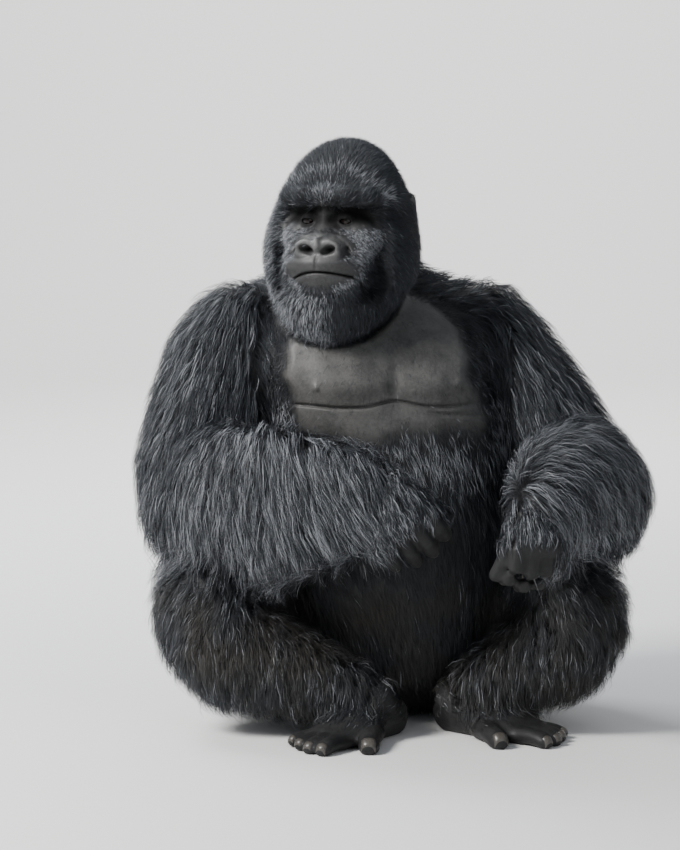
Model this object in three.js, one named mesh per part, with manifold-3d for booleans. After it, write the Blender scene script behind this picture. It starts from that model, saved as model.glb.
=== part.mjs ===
// A seated silverback mountain gorilla at life size, out to the tips of its coat.
// Millimetres, +Z up. The animal faces -Y, its right side is on -X, and its seat and
// soles rest on the plane Z = 0. Each named part of the body is one closed solid.

import * as THREE from 'three';
import { mergeVertices } from 'three/addons/utils/BufferGeometryUtils.js';
import Module from 'manifold-3d';

const wasm = await Module();
wasm.setup();

// ---------------------------------------------------------------- driving dimensions

const GAP = 0.35; // between two parts that touch
const FLOOR_BITE = 12; // how far the seat and the soles are pressed flat
const CAP_TURN = Math.PI / 3.2; // how far round a limb's end its one extra ring lies

// the head: the middle of the skull, and how it is turned
const HEAD_CENTRE = new THREE.Vector3(-86, -62, 910);
const HEAD_YAW = 16; // degrees towards the animal's right
const EYE_APART = 72;
const EYE_HEIGHT = 29; // above the middle of the skull
const EYE_DEPTH = 107; // in front of the middle of the skull, to the middle of the eyeball
const EYE_RADIUS = 12.5;
const EAR_OUT = 118; // from the middle of the skull to the rim, sideways
const EAR_BACK = 40; // behind the middle of the skull
const EAR_HEIGHT = 50; // above the middle of the skull

// joints of the limbs, [right side, left side]
const SHOULDER = [[-278, -8, 718], [182, 88, 722]];
const ELBOW = [[-396, -140, 398], [402, -80, 400]];
const WRIST = [[-28, -338, 462], [254, -404, 424]];
const HIP = [[-125, 120, 165], [125, 130, 165]];
const KNEE = [[-326, -222, 240], [342, -212, 250]];
const ANKLE = [[-44, -262, 74], [130, -232, 76]];
const KNEE_ROLL = [18, 0]; // how far the outside of each thigh and calf rolls out at the knee

const COAT = 0x23262b;
const BARE_SKIN = 0x34332f;
const EYE_BROWN = 0x2a160b;

// ---------------------------------------------------------------- curves and surfaces

/** Rows of numbers with `perSpan` rows in each span, on a Catmull-Rom curve through them. */
function between(rows, perSpan) {
  const at = (index) => rows[THREE.MathUtils.clamp(index, 0, rows.length - 1)];
  const result = [];
  for (let i = 0; i < rows.length - 1; i++) {
    for (let j = 0; j < perSpan; j++) {
      const t = j / perSpan;
      result.push(at(i).map((value, k) => {
        const before = (at(i + 1)[k] - at(i - 1)[k]) / 2;
        const after = (at(i + 2)[k] - value) / 2;
        const step = at(i + 1)[k] - value;
        const bend = 3 * step - 2 * before - after;
        const twist = before + after - 2 * step;
        return value + t * (before + t * (bend + t * twist));
      }));
    }
  }
  result.push(at(rows.length - 1));
  return result;
}

/** Rows of levels by height: those given, with closer ones from `low` to `high`. */
function levels(rows, perSpan, [low, high]) {
  const isKept = ([height], k) => k % perSpan === 0 || (height > low && height < high);
  return between(rows, perSpan).filter(isKept);
}

/** A closed surface over rings of points, from the first to the last, capped by fans. */
function overRings(rings) {
  const count = rings[0].length;
  const points = rings.flat();
  const faces = [];
  for (let r = 0; r < rings.length - 1; r++) {
    for (let i = 0; i < count; i++) {
      const a = r * count + i;
      const b = r * count + (i + 1) % count;
      faces.push(a, b, b + count, a, b + count, a + count);
    }
  }
  const cap = (ring, start, flip) => {
    const middle = ring.reduce((sum, p) => sum.add(p), new THREE.Vector3()).divideScalar(count);
    points.push(middle);
    for (let i = 0; i < count; i++) {
      const a = start + i;
      const b = start + (i + 1) % count;
      faces.push(points.length - 1, flip ? b : a, flip ? a : b);
    }
  };
  cap(rings[0], 0, true);
  cap(rings.at(-1), (rings.length - 1) * count, false);
  const geometry = new THREE.BufferGeometry().setFromPoints(points);
  geometry.setIndex(volumeOf(points, faces) < 0 ? faces.reverse() : faces);
  return geometry;
}

function volumeOf(points, faces) {
  let total = 0;
  const cross = new THREE.Vector3();
  for (let i = 0; i < faces.length; i += 3) {
    cross.crossVectors(points[faces[i + 1]], points[faces[i + 2]]);
    total += points[faces[i]].dot(cross) / 6;
  }
  return total;
}

/**
 * A limb or finger: ellipses carried along a path, with a rounded cap at each end.
 * A row is [x, y, z, half width, half thickness, hang]. The width runs across `up` and the
 * path. `hang` lets the coat of the lower side fall by so much.
 */
function limb(rows, { sides = 12, up = [0, 0, 1], caps = [0.8, 0.8] } = {}) {
  const centres = rows.map(([x, y, z]) => new THREE.Vector3(x, y, z));
  const upward = new THREE.Vector3(...up);
  const ring = (k, shift, shrink) => {
    const ahead = centres[Math.min(k + 1, centres.length - 1)];
    const behind = centres[Math.max(k - 1, 0)];
    const along = ahead.clone().sub(behind).normalize();
    const across = along.clone().cross(upward).normalize();
    const over = across.clone().cross(along);
    const [wide, thick, hang = 0] = rows[k].slice(3);
    return Array.from({ length: sides }, (_, i) => {
      const turn = 2 * Math.PI * i / sides;
      const out = across.clone().multiplyScalar(Math.cos(turn) * wide);
      out.addScaledVector(over, Math.sin(turn) * thick);
      const down = Math.max(0, -out.z / Math.max(out.length(), 1));
      out.z -= hang * down ** 1.5;
      return out.multiplyScalar(shrink).add(centres[k]).addScaledVector(along, shift);
    });
  };
  const cap = (k, reach) => ring(k, reach * rows[k][4] * Math.sin(CAP_TURN), Math.cos(CAP_TURN));
  return overRings([
    cap(0, -caps[0]),
    ...rows.map((_, k) => ring(k, 0, 1)),
    cap(rows.length - 1, caps[1]),
  ]);
}

/** A bell-shaped hill of height 1 at (x, y), so wide and so high. */
function hill(x, y, middleX, middleY, wide, high) {
  return Math.exp(-(((x - middleX) / wide) ** 2) - ((y - middleY) / high) ** 2);
}

// ---------------------------------------------------------------- solids

function solid(geometry) {
  const plain = geometry.index ? geometry.clone() : geometry;
  plain.deleteAttribute('normal');
  plain.deleteAttribute('uv');
  const merged = mergeVertices(plain);
  return new wasm.Manifold(new wasm.Mesh({
    numProp: 3,
    vertProperties: new Float32Array(merged.attributes.position.array),
    triVerts: new Uint32Array(merged.index.array),
  }));
}

function geometryOf(body) {
  const mesh = body.getMesh();
  const geometry = new THREE.BufferGeometry();
  geometry.setAttribute('position', new THREE.BufferAttribute(mesh.vertProperties, 3));
  geometry.setIndex(new THREE.BufferAttribute(mesh.triVerts, 1));
  return geometry;
}

/** The same body, with its surface moved out by the gap. */
function grown(body) {
  const geometry = geometryOf(body);
  geometry.computeVertexNormals();
  const { position, normal } = geometry.attributes;
  for (let i = 0; i < position.array.length; i++) {
    position.array[i] += normal.array[i] * GAP;
  }
  return solid(geometry);
}

function joined(bodies) {
  return bodies.reduce((sum, body) => sum.add(body));
}

/** The largest piece of a body that a cut has left in several. */
function mainPiece(body) {
  return body.decompose().sort((a, b) => b.volume() - a.volume())[0];
}

function boxBetween(low, high) {
  const geometry = new THREE.BoxGeometry(high[0] - low[0], high[1] - low[1], high[2] - low[2]);
  geometry.translate((low[0] + high[0]) / 2, (low[1] + high[1]) / 2, (low[2] + high[2]) / 2);
  return solid(geometry);
}

// ---------------------------------------------------------------- trunk

// Levels of the trunk: [z, middle x, middle y, half width, front, back, yaw in degrees]
const TRUNK_LEVELS = [
  [-FLOOR_BITE, 0, 125, 120, 105, 110, 0],
  [18, 0, 120, 205, 215, 172, 0],
  [75, 0, 110, 250, 290, 208, 1],
  [160, 0, 96, 268, 306, 222, 2],
  [260, -2, 84, 272, 312, 218, 3],
  [370, -6, 74, 268, 308, 208, 5],
  [470, -14, 66, 264, 280, 205, 7],
  [560, -22, 60, 270, 250, 210, 9],
  [640, -32, 58, 284, 244, 214, 11],
  [710, -40, 60, 292, 214, 214, 12],
  [765, -46, 66, 278, 162, 204, 12],
  [804, -54, 76, 236, 114, 184, 12],
  [830, -60, 84, 168, 80, 146, 12],
  [843, -64, 88, 80, 42, 76, 12],
];
const TRUNK_SIDES = 28;
const NIPPLE_HEIGHT = 622;
const CREASE_HEIGHT = 594;

/** How far the chest stands proud at `across` from the breastbone and height z. */
function chestRelief(across, z) {
  const breasts = 15 * hill(Math.abs(across), z, 92, NIPPLE_HEIGHT + 22, 72, 44);
  const crease = -13 * hill(across, z, 0, CREASE_HEIGHT - 8, 190, 16);
  const breastbone = -7 * hill(across, z, 0, 680, 20, 80);
  const bellyRoll = 9 * hill(across, z, 30, CREASE_HEIGHT - 42, 170, 22);
  return breasts + crease + breastbone + bellyRoll;
}

function trunkRing([z, x, y, half, front, back, yaw]) {
  const turn = THREE.MathUtils.degToRad(yaw);
  return Array.from({ length: TRUNK_SIDES }, (_, i) => {
    const angle = 2 * Math.PI * i / TRUNK_SIDES;
    const square = (value) => Math.sign(value) * Math.abs(value) ** 0.88;
    const across = half * square(Math.cos(angle));
    const facing = Math.max(0, -Math.sin(angle));
    let along = (facing > 0 ? front : back) * square(Math.sin(angle));
    along -= chestRelief(across, z) * THREE.MathUtils.smoothstep(facing, 0.25, 0.75);
    return new THREE.Vector3(
      x + across * Math.cos(turn) - along * Math.sin(turn),
      y + across * Math.sin(turn) + along * Math.cos(turn),
      z,
    );
  });
}

const trunk = solid(overRings(levels(TRUNK_LEVELS, 2, [550, 680]).map(trunkRing)));

const neck = solid(limb([
  [-58, 104, 765, 200, 148],
  [-62, 92, 800, 158, 146],
  [-68, 74, 842, 120, 142],
  [-75, 48, 892, 110, 132],
  [-80, 20, 962, 100, 114],
], { sides: 12, up: [0, 1, 0.4], caps: [0.3, 0.6] }));

// ---------------------------------------------------------------- head

// Levels of the head from chin to crest: [height, middle, half width, front, back].
// The front is that of the cheeks and forehead, before brows, nose and muzzle are added.
const HEAD_LEVELS = [
  [-196, 96, 20, 18, 18],
  [-186, 90, 56, 46, 60],
  [-160, 74, 92, 66, 110],
  [-122, 54, 123, 84, 146],
  [-84, 42, 141, 84, 172],
  [-46, 36, 148, 82, 184],
  [-12, 32, 147, 82, 188],
  [22, 26, 138, 90, 186],
  [56, 18, 126, 102, 178],
  [92, 10, 111, 98, 160],
  [126, 2, 93, 76, 136],
  [154, -6, 68, 52, 114],
  [172, -12, 40, 30, 74],
  [179, -14, 14, 10, 28],
];
const HEAD_SIDES = 28;
const MOUTH_HEIGHT = -58;
const NOSE_HEIGHT = -7;
const BROW_HEIGHT = 58;

/** How far the face stands out from the cheeks and forehead, at a place across and up. */
function faceRelief(across, height) {
  const side = Math.abs(across);
  const brows = 30 * hill(0, height, 0, BROW_HEIGHT - 10 * (side / 80) ** 2, 1, 15)
    * Math.exp(-((side / 92) ** 6));
  const sockets = -15 * hill(side, height, EYE_APART / 2, EYE_HEIGHT, 24, 16);
  const bridge = 16 * hill(across, height, 0, 18, 12, 34);
  const nose = 24 * hill(across, height, 0, NOSE_HEIGHT, 24, 16);
  const wings = 20 * hill(side, height, 27, NOSE_HEIGHT - 4, 15, 15);
  const nostrils = -14 * hill(side, height, 14, NOSE_HEIGHT - 8, 9, 8);
  const muzzle = 64 * Math.exp(-((side / 80) ** 3)) * hill(0, height, 0, MOUTH_HEIGHT + 8, 1, 58);
  const lipLine = MOUTH_HEIGHT - 12 * (side / 66) ** 2;
  const lipGap = -8 * hill(across, height, 0, lipLine, 68, 7);
  const lowerLip = 4 * hill(across, height, 0, lipLine - 16, 50, 9);
  const beard = 24 * hill(across, height, 0, -138, 62, 36);
  const cheeks = 9 * hill(side, height, 92, -6, 30, 34);
  return brows + sockets + bridge + nose + wings + nostrils + muzzle + lipGap + lowerLip + beard + cheeks;
}

const headTurn = new THREE.Matrix4()
  .makeRotationZ(-THREE.MathUtils.degToRad(HEAD_YAW))
  .setPosition(HEAD_CENTRE);

/** A place of the head, given across (towards its left), forward and up from its middle. */
function inHead(across, forward, up) {
  return new THREE.Vector3(across, -forward, up).applyMatrix4(headTurn);
}

function headRing([height, middle, half, front, back]) {
  return Array.from({ length: HEAD_SIDES }, (_, i) => {
    const part = 2 * i / HEAD_SIDES - 1;
    const angle = Math.PI * part * (0.34 + 0.66 * Math.abs(part)); // the face gets the most columns
    const facing = Math.cos(angle);
    const across = half * Math.sin(angle);
    const reach = facing > 0 ? front : back;
    let forward = middle + reach * Math.sign(facing) * Math.abs(facing) ** 0.86;
    forward += faceRelief(across, height) * THREE.MathUtils.smoothstep(facing, 0.1, 0.6);
    return inHead(across, forward, height);
  });
}

const head = solid(overRings(levels(HEAD_LEVELS, 3, [-86, 72]).map(headRing)));

function eyeAt(side) {
  const ball = new THREE.SphereGeometry(EYE_RADIUS, 12, 8);
  const place = inHead(side * EYE_APART / 2, EYE_DEPTH, EYE_HEIGHT);
  ball.rotateX(Math.PI / 2);
  return solid(ball.translate(place.x, place.y, place.z));
}

/** A small round ear: a leaning dish with a rolled rim, mostly sunk in the coat. */
function earAt(side) {
  const rows = Array.from({ length: 7 }, (_, i) => {
    const turn = Math.PI * (-0.62 + 1.3 * i / 6);
    const out = EAR_OUT - 3 * Math.sin(turn);
    const place = inHead(side * out, -EAR_BACK - 15 * Math.cos(turn), EAR_HEIGHT + 22 * Math.sin(turn));
    return [place.x, place.y, place.z, 5, 9];
  });
  const rim = solid(limb(rows, { sides: 6, up: [1, 0.3, 0] }));
  const bowl = new THREE.SphereGeometry(1, 10, 6);
  bowl.scale(8, 14, 21);
  const place = inHead(side * (EAR_OUT - 5), -EAR_BACK, EAR_HEIGHT);
  bowl.rotateZ(-THREE.MathUtils.degToRad(HEAD_YAW)).translate(place.x, place.y, place.z);
  return rim.add(solid(bowl));
}

// ---------------------------------------------------------------- hands and feet

/** A finger or toe of three bones that bend from `ahead` towards `under`. */
function digit(root, ahead, under, length, radius, bends) {
  const rows = [[...root.toArray(), radius, radius]];
  const place = root.clone();
  let bend = 0;
  for (const [share, turn] of [[0.42, bends[0]], [0.32, bends[1]], [0.26, bends[2]]]) {
    bend += THREE.MathUtils.degToRad(turn);
    place.addScaledVector(ahead, Math.cos(bend) * share * length);
    place.addScaledVector(under, Math.sin(bend) * share * length);
    rows.push([...place.toArray(), radius * 0.94, radius * 0.9]);
  }
  return solid(limb(rows, { sides: 6, up: under.toArray(), caps: [0.6, 0.9] }));
}

const FINGER_SHARES = [0.86, 0.98, 1, 0.84]; // from the forefinger to the little finger

/**
 * A hand that hangs over something: the palm from the wrist to the knuckles, four fingers
 * bent towards `under`, and the thumb. `across` points from the little finger's side to the thumb.
 */
function hand({ wrist, knuckles, across, half, coat, fingerBends, thumbAhead }) {
  const from = new THREE.Vector3(...wrist);
  const to = new THREE.Vector3(...knuckles);
  const ahead = to.clone().sub(from).normalize();
  const side = new THREE.Vector3(...across);
  side.addScaledVector(ahead, -side.dot(ahead)).normalize();
  let under = ahead.clone().cross(side);
  if (under.y < 0) {
    under = under.negate();
  }
  const back = from.clone().addScaledVector(ahead, -25);
  const palmRows = [
    [...back.toArray(), half * 0.82, 34 + coat],
    [...from.clone().lerp(to, 0.4).toArray(), half * 0.95, 31 + coat],
    [...to.clone().addScaledVector(ahead, -8).toArray(), half, 25 + coat * 0.5],
  ];
  const bodies = [solid(limb(palmRows, { sides: 10, up: under.toArray(), caps: [0.5, 0.4] }))];
  FINGER_SHARES.forEach((share, i) => {
    const offset = (1.5 - i) * half * 0.5;
    const root = to.clone().addScaledVector(side, offset);
    root.addScaledVector(ahead, -12 - 5 * Math.abs(1 - i));
    const fanned = ahead.clone().addScaledVector(side, (1.5 - i) * 0.05).normalize();
    bodies.push(digit(root, fanned, under, 108 * share, 18.5 - i * 0.8, fingerBends));
  });
  const thumbRoot = from.clone().lerp(to, 0.45);
  thumbRoot.addScaledVector(side, half * 0.8).addScaledVector(under, 14);
  const thumb = ahead.clone().multiplyScalar(thumbAhead).addScaledVector(side, 0.35)
    .addScaledVector(under, 0.4).normalize();
  bodies.push(digit(thumbRoot, thumb, under, 70, 16.5, [8, 18, 16]));
  return joined(bodies);
}

/**
 * A foot flat on the floor. `inside` is +1 or -1: the side of its big toe, seen along the foot.
 * The four toes lie ahead of the ball, and the big toe stands out like a thumb.
 */
function foot({ heel, heading, inside, ankle }) {
  const turn = THREE.MathUtils.degToRad(heading);
  const ahead = new THREE.Vector3(Math.sin(turn), -Math.cos(turn), 0);
  const side = new THREE.Vector3(Math.cos(turn), Math.sin(turn), 0).multiplyScalar(inside);
  const at = (along, across, up) => new THREE.Vector3(heel[0], heel[1], up)
    .addScaledVector(ahead, along).addScaledVector(side, across);
  const soleRows = [
    [...at(4, 0, 34).toArray(), 36, 40],
    [...at(50, 0, 38).toArray(), 42, 46],
    [...at(110, -2, 30).toArray(), 50, 38],
    [...at(168, -6, 18).toArray(), 56, 24],
    [...at(196, -8, 15).toArray(), 52, 19],
  ];
  const bodies = [solid(limb(soleRows, { sides: 10, caps: [0.7, 0.4] }))];
  const ankleRows = [
    [...at(40, 0, 40).toArray(), 44, 44],
    [...ankle, 54, 54],
  ];
  bodies.push(solid(limb(ankleRows, { sides: 8, up: ahead.toArray(), caps: [0.6, 0.4] })));
  for (let i = 0; i < 4; i++) {
    const across = 30 - i * 27;
    const length = [66, 68, 62, 52][i];
    const root = at(192 - i * 5 - Math.abs(1 - i) * 2, across, 15);
    const fanned = ahead.clone().addScaledVector(side, (1.2 - i) * 0.07).normalize();
    bodies.push(digit(root, fanned, new THREE.Vector3(0, 0, -1), length, 16 - i * 0.9, [-6, 14, 10]));
  }
  const bigToe = ahead.clone().addScaledVector(side, 0.62).normalize();
  bodies.push(digit(at(104, 36, 20), bigToe, new THREE.Vector3(0, 0, -1), 104, 21, [-2, 8, 8]));
  return joined(bodies);
}

// ---------------------------------------------------------------- limbs

/** A row of a limb between two joints: the place along it, moved aside, and its sizes. */
function row(from, to, part, shift, sizes) {
  return [
    ...from.map((value, k) => value + (to[k] - value) * part + shift[k]),
    ...sizes,
  ];
}

const rightUpperArm = solid(limb([
  row(SHOULDER[0], ELBOW[0], -0.08, [-2, 0, 2], [102, 110, 0]),
  row(SHOULDER[0], ELBOW[0], 0.16, [-8, 0, 2], [122, 124, 0]),
  row(SHOULDER[0], ELBOW[0], 0.5, [-8, 0, 0], [116, 118, 10]),
  row(SHOULDER[0], ELBOW[0], 0.82, [-8.3, 0, 0], [100, 110, 18]),
  row(SHOULDER[0], ELBOW[0], 1.0, [0, 0, 0], [74, 84, 8]),
], { sides: 12, up: [0, 1, 0], caps: [0.75, 0.5] }));

const leftUpperArm = solid(limb([
  row(SHOULDER[1], ELBOW[1], -0.08, [0, 0, 0], [92, 100, 0]),
  row(SHOULDER[1], ELBOW[1], 0.16, [0, 0, 0], [106, 110, 0]),
  row(SHOULDER[1], ELBOW[1], 0.5, [0, 0, 0], [108, 114, 10]),
  row(SHOULDER[1], ELBOW[1], 0.82, [2, 0, 0], [100, 110, 20]),
  row(SHOULDER[1], ELBOW[1], 1.04, [0, 0, 0], [82, 94, 20]),
], { sides: 12, up: [0, 1, 0], caps: [0.75, 0.5] }));

const rightForearm = solid(limb([
  row(ELBOW[0], WRIST[0], -0.02, [8, 6, -18], [92, 106, 36]),
  row(ELBOW[0], WRIST[0], 0.22, [0, -6, 22], [102, 140, 50]),
  row(ELBOW[0], WRIST[0], 0.52, [0, -10, 18], [96, 138, 54]),
  row(ELBOW[0], WRIST[0], 0.8, [0, -4, 4], [82, 112, 42]),
  row(ELBOW[0], WRIST[0], 1.0, [0, 0, 0], [70, 88, 26]),
], { sides: 12, caps: [0.6, 0.4] }));

const leftForearm = solid(limb([
  row(ELBOW[1], WRIST[1], -0.06, [4, 6, 0], [88, 104, 24]),
  row(ELBOW[1], WRIST[1], 0.22, [-14, 0, 48], [112, 128, 30]),
  row(ELBOW[1], WRIST[1], 0.52, [-18, -8, 48], [108, 116, 34]),
  row(ELBOW[1], WRIST[1], 0.8, [-6, -6, 22], [88, 94, 30]),
  row(ELBOW[1], WRIST[1], 1.0, [0, 0, 0], [70, 74, 20]),
], { sides: 12, caps: [0.6, 0.4] }));

function thigh(i) {
  const [from, to] = [HIP[i], KNEE[i]];
  const out = i === 0 ? -1 : 1;
  const roll = KNEE_ROLL[i];
  return solid(limb([
    row(from, to, 0, [out * 4, 6, 0], [142, 140, 0]),
    row(from, to, 0.34, [out * (30 + 0.4 * roll), 8, -6], [142, 140, 4]),
    row(from, to, 0.7, [out * (32 + 0.8 * roll), 4, 0.6 * roll - 20], [128, 128, 10]),
    row(from, to, 0.98, [out * (8 + roll), 0, 0.8 * roll - 14], [106, 110, 16]),
  ], { sides: 12, caps: [0.8, 0.7] }));
}

function lowerLeg(i) {
  const [from, to] = [KNEE[i], ANKLE[i]];
  const out = i === 0 ? -1 : 1;
  const roll = KNEE_ROLL[i];
  return solid(limb([
    row(from, to, 0.02, [out * (10 + 0.8 * roll), 0, -22], [92, 110, 10]),
    row(from, to, 0.3, [out * (28 + 0.6 * roll), 16, -46], [106, 112, 8]),
    row(from, to, 0.66, [out * 18, 14, -20], [86, 82, 8]),
    row(from, to, 0.98, [0, 0, 0], [56, 54, 0]),
  ], { sides: 12, caps: [0.7, 0.5] }));
}

const rightHand = hand({
  wrist: WRIST[0],
  knuckles: [30, -376, 388],
  across: [0.9, 0, 0.42],
  half: 66,
  coat: 6,
  fingerBends: [28, 42, 38],
  thumbAhead: 0.9,
});

const leftHand = hand({
  wrist: WRIST[1],
  knuckles: [262, -440, 356],
  across: [-0.93, -0.3, 0.1],
  half: 56,
  coat: 6,
  fingerBends: [30, 48, 40],
  thumbAhead: 0.9,
});

const rightFoot = foot({ heel: [4, -214], heading: -38, inside: 1, ankle: ANKLE[0] });
const leftFoot = foot({ heel: [104, -178], heading: 50, inside: -1, ankle: ANKLE[1] });

// ---------------------------------------------------------------- assembly

// Whole forms in the order of cutting: each gives way to those before it. A form is one
// part, or is divided at level heights into several, from the lowest up.
const WHOLE = [-50, 1200];
const SEATED_WAIST = 205;
const FORMS = [
  { body: eyeAt(-1), colour: EYE_BROWN, parts: { eye_right: WHOLE } },
  { body: eyeAt(1), colour: EYE_BROWN, parts: { eye_left: WHOLE } },
  { body: neck, colour: COAT, parts: { neck: WHOLE } },
  { body: head, colour: COAT, parts: { head: WHOLE } },
  {
    body: trunk,
    colour: COAT,
    parts: {
      rump: [-50, SEATED_WAIST],
      belly: [SEATED_WAIST + GAP, CREASE_HEIGHT - 8],
      chest: [CREASE_HEIGHT - 8 + GAP, 1000],
    },
  },
  { body: earAt(-1), colour: BARE_SKIN, parts: { ear_right: WHOLE } },
  { body: earAt(1), colour: BARE_SKIN, parts: { ear_left: WHOLE } },
  { body: thigh(0), colour: COAT, parts: { thigh_right: WHOLE } },
  { body: thigh(1), colour: COAT, parts: { thigh_left: WHOLE } },
  { body: lowerLeg(0), colour: COAT, parts: { lower_leg_right: WHOLE } },
  { body: lowerLeg(1), colour: COAT, parts: { lower_leg_left: WHOLE } },
  { body: rightFoot, colour: BARE_SKIN, parts: { foot_right: WHOLE } },
  { body: leftFoot, colour: BARE_SKIN, parts: { foot_left: WHOLE } },
  { body: rightUpperArm, colour: COAT, parts: { upper_arm_right: WHOLE } },
  { body: leftUpperArm, colour: COAT, parts: { upper_arm_left: WHOLE } },
  { body: rightForearm, colour: COAT, parts: { forearm_right: WHOLE } },
  { body: leftForearm, colour: COAT, parts: { forearm_left: WHOLE } },
  { body: rightHand, colour: BARE_SKIN, parts: { hand_right: WHOLE } },
  { body: leftHand, colour: BARE_SKIN, parts: { hand_left: WHOLE } },
];

function levelSlice(body, [bottom, top]) {
  return body.intersect(boxBetween([-900, -900, bottom], [900, 900, top]));
}

const ground = boxBetween([-900, -900, -200], [900, 900, 0]);

const gorilla = new THREE.Group();
let taken = ground;
for (const { body, colour, parts } of FORMS) {
  const free = mainPiece(body.subtract(taken));
  for (const [name, heights] of Object.entries(parts)) {
    const geometry = geometryOf(heights === WHOLE ? free : levelSlice(free, heights));
    geometry.computeVertexNormals();
    const roughness = colour === EYE_BROWN ? 0.15 : 0.7;
    const material = new THREE.MeshStandardMaterial({ color: colour, roughness, metalness: 0 });
    const mesh = new THREE.Mesh(geometry, material);
    mesh.name = name;
    gorilla.add(mesh);
  }
  taken = taken.add(grown(body));
}

// The origin is the middle of the ground that the whole animal covers.
const reach = new THREE.Box3().setFromObject(gorilla);
const middle = reach.getCenter(new THREE.Vector3());
gorilla.position.set(-middle.x, -middle.y, -reach.min.z);

export default gorilla;
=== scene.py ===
# %% [markdown]
# # A seated silverback gorilla, life size
#
# The CAD solids give the animal's outline out to the tips of its coat. This lesson puts
# a living surface inside them: one skin without a seam, two eyes, eighteen nails, and a
# coat of tufts that follow the lie of the hair. Everything is in metres, in the frame of
# the solids: the animal sits on Z = 0, faces -Y, and its right side is on -X.

import math
import time

import bpy
import numpy as np
import openvdb
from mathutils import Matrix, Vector


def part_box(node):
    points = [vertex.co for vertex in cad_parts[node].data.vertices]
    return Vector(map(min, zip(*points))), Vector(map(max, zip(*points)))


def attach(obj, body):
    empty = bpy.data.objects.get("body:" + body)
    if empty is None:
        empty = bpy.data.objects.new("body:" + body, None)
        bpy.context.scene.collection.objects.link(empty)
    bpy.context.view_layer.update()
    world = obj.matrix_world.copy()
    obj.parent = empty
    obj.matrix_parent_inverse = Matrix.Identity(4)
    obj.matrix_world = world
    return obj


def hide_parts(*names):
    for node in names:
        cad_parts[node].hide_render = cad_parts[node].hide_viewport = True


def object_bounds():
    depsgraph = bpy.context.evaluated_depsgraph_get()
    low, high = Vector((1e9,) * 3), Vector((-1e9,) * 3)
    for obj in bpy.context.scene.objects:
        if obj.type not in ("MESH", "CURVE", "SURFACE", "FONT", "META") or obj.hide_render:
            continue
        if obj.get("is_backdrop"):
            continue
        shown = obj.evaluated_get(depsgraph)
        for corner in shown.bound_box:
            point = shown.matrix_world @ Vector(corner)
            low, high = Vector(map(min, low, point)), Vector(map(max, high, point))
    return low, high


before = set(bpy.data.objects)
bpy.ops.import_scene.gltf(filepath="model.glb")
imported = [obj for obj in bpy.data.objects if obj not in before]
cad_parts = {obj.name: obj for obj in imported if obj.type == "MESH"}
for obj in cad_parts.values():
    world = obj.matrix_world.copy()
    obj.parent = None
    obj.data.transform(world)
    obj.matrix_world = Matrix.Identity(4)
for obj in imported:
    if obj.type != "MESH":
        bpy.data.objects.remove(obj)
CAD_BOX = [list(map(float, corner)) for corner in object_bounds()]
START = time.time()


def report(*words):
    """Prints a line with the seconds since the start."""
    print(f"[{time.time() - START:5.1f} s]", *words)


report("solids:", len(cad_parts), "box", np.round(CAD_BOX, 3).tolist())

# %% [markdown]
# ## Objects from arrays
#
# Every piece of this lesson is worked out with numpy first, as arrays of corners and
# faces. A mesh can be filled corner by corner, but `foreach_set` takes a whole array at
# once, which matters for a coat of a million triangles. A face is a run of loops, and
# each loop names a corner, so faces of three and four corners can stand in one mesh.

# %% Objects from arrays
def add_object(name, data, place=(0.0, 0.0, 0.0), target=None):
    """An object in the scene. With a target, its -Z points from its place to the target."""
    made = bpy.data.objects.new(name, data)
    made.location = place
    if target is not None:
        made.rotation_euler = (Vector(target) - Vector(place)).to_track_quat("-Z", "Y").to_euler()
    bpy.context.scene.collection.objects.link(made)
    return made


def add_mesh(name, points, loops, starts):
    """A smooth mesh object from its corners, its loops, and the first loop of each face."""
    mesh = bpy.data.meshes.new(name)
    mesh.vertices.add(len(points))
    mesh.vertices.foreach_set("co", np.asarray(points, np.float32).ravel())
    mesh.loops.add(len(loops))
    mesh.loops.foreach_set("vertex_index", np.asarray(loops, np.int32))
    mesh.polygons.add(len(starts))
    mesh.polygons.foreach_set("loop_start", np.asarray(starts, np.int32))
    mesh.update(calc_edges=True)
    mesh.shade_smooth()
    return add_object(name, mesh)


def add_quads(name, points, quads):
    """A mesh object of faces with four corners each."""
    return add_mesh(name, points, quads.ravel(), np.arange(0, quads.size, 4))


def arrays_of(mesh):
    """The corners of a mesh and its triangles, as arrays."""
    points = np.empty(len(mesh.vertices) * 3, np.float32)
    mesh.vertices.foreach_get("co", points)
    mesh.calc_loop_triangles()
    triangles = np.empty(len(mesh.loop_triangles) * 3, np.int32)
    mesh.loop_triangles.foreach_get("vertices", triangles)
    return points.reshape(-1, 3), triangles.reshape(-1, 3)


def new_material(name):
    material = bpy.data.materials.new(name)
    material.use_nodes = True
    return material, material.node_tree.nodes["Principled BSDF"]


# %% [markdown]
# ## Camera and lights
#
# The camera stands six and a half metres away, at the height of a person who looks at a
# seated animal, with a long lens. Two soft windows stand on the left: the one in front
# models the body, and the one behind gives the coat its silver edge. A weak light in
# front lifts the dark face, and another one lights the wall. Large area lights are
# soft, where a point light would give hard black shadows.

# %% Camera and lights
LENS = 145.9
CAMERA_TARGET = (-0.1006, 0.0733, 0.546)
CAMERA_DISTANCE = 6.5
CAMERA_RISE = math.radians(6.0)
# place, target, size, power and colour
LIGHTS = {
    "window": ((-3.2, -1.9, 3.3), (0.0, 0.0, 0.6), 1.5, 380, (1.0, 0.99, 0.97)),
    "back window": ((-2.2, 2.2, 3.2), (0.0, 0.0, 0.8), 1.8, 140, (0.9, 0.95, 1.0)),
    "front": ((2.4, -4.6, 1.8), (0.0, 0.0, 0.5), 2.6, 34, (1.0, 1.0, 1.0)),
    "wall": ((0.0, 3.6, 5.5), (0.0, 9.5, 2.0), 4.0, 700, (1.0, 1.0, 1.0)),
}

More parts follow.
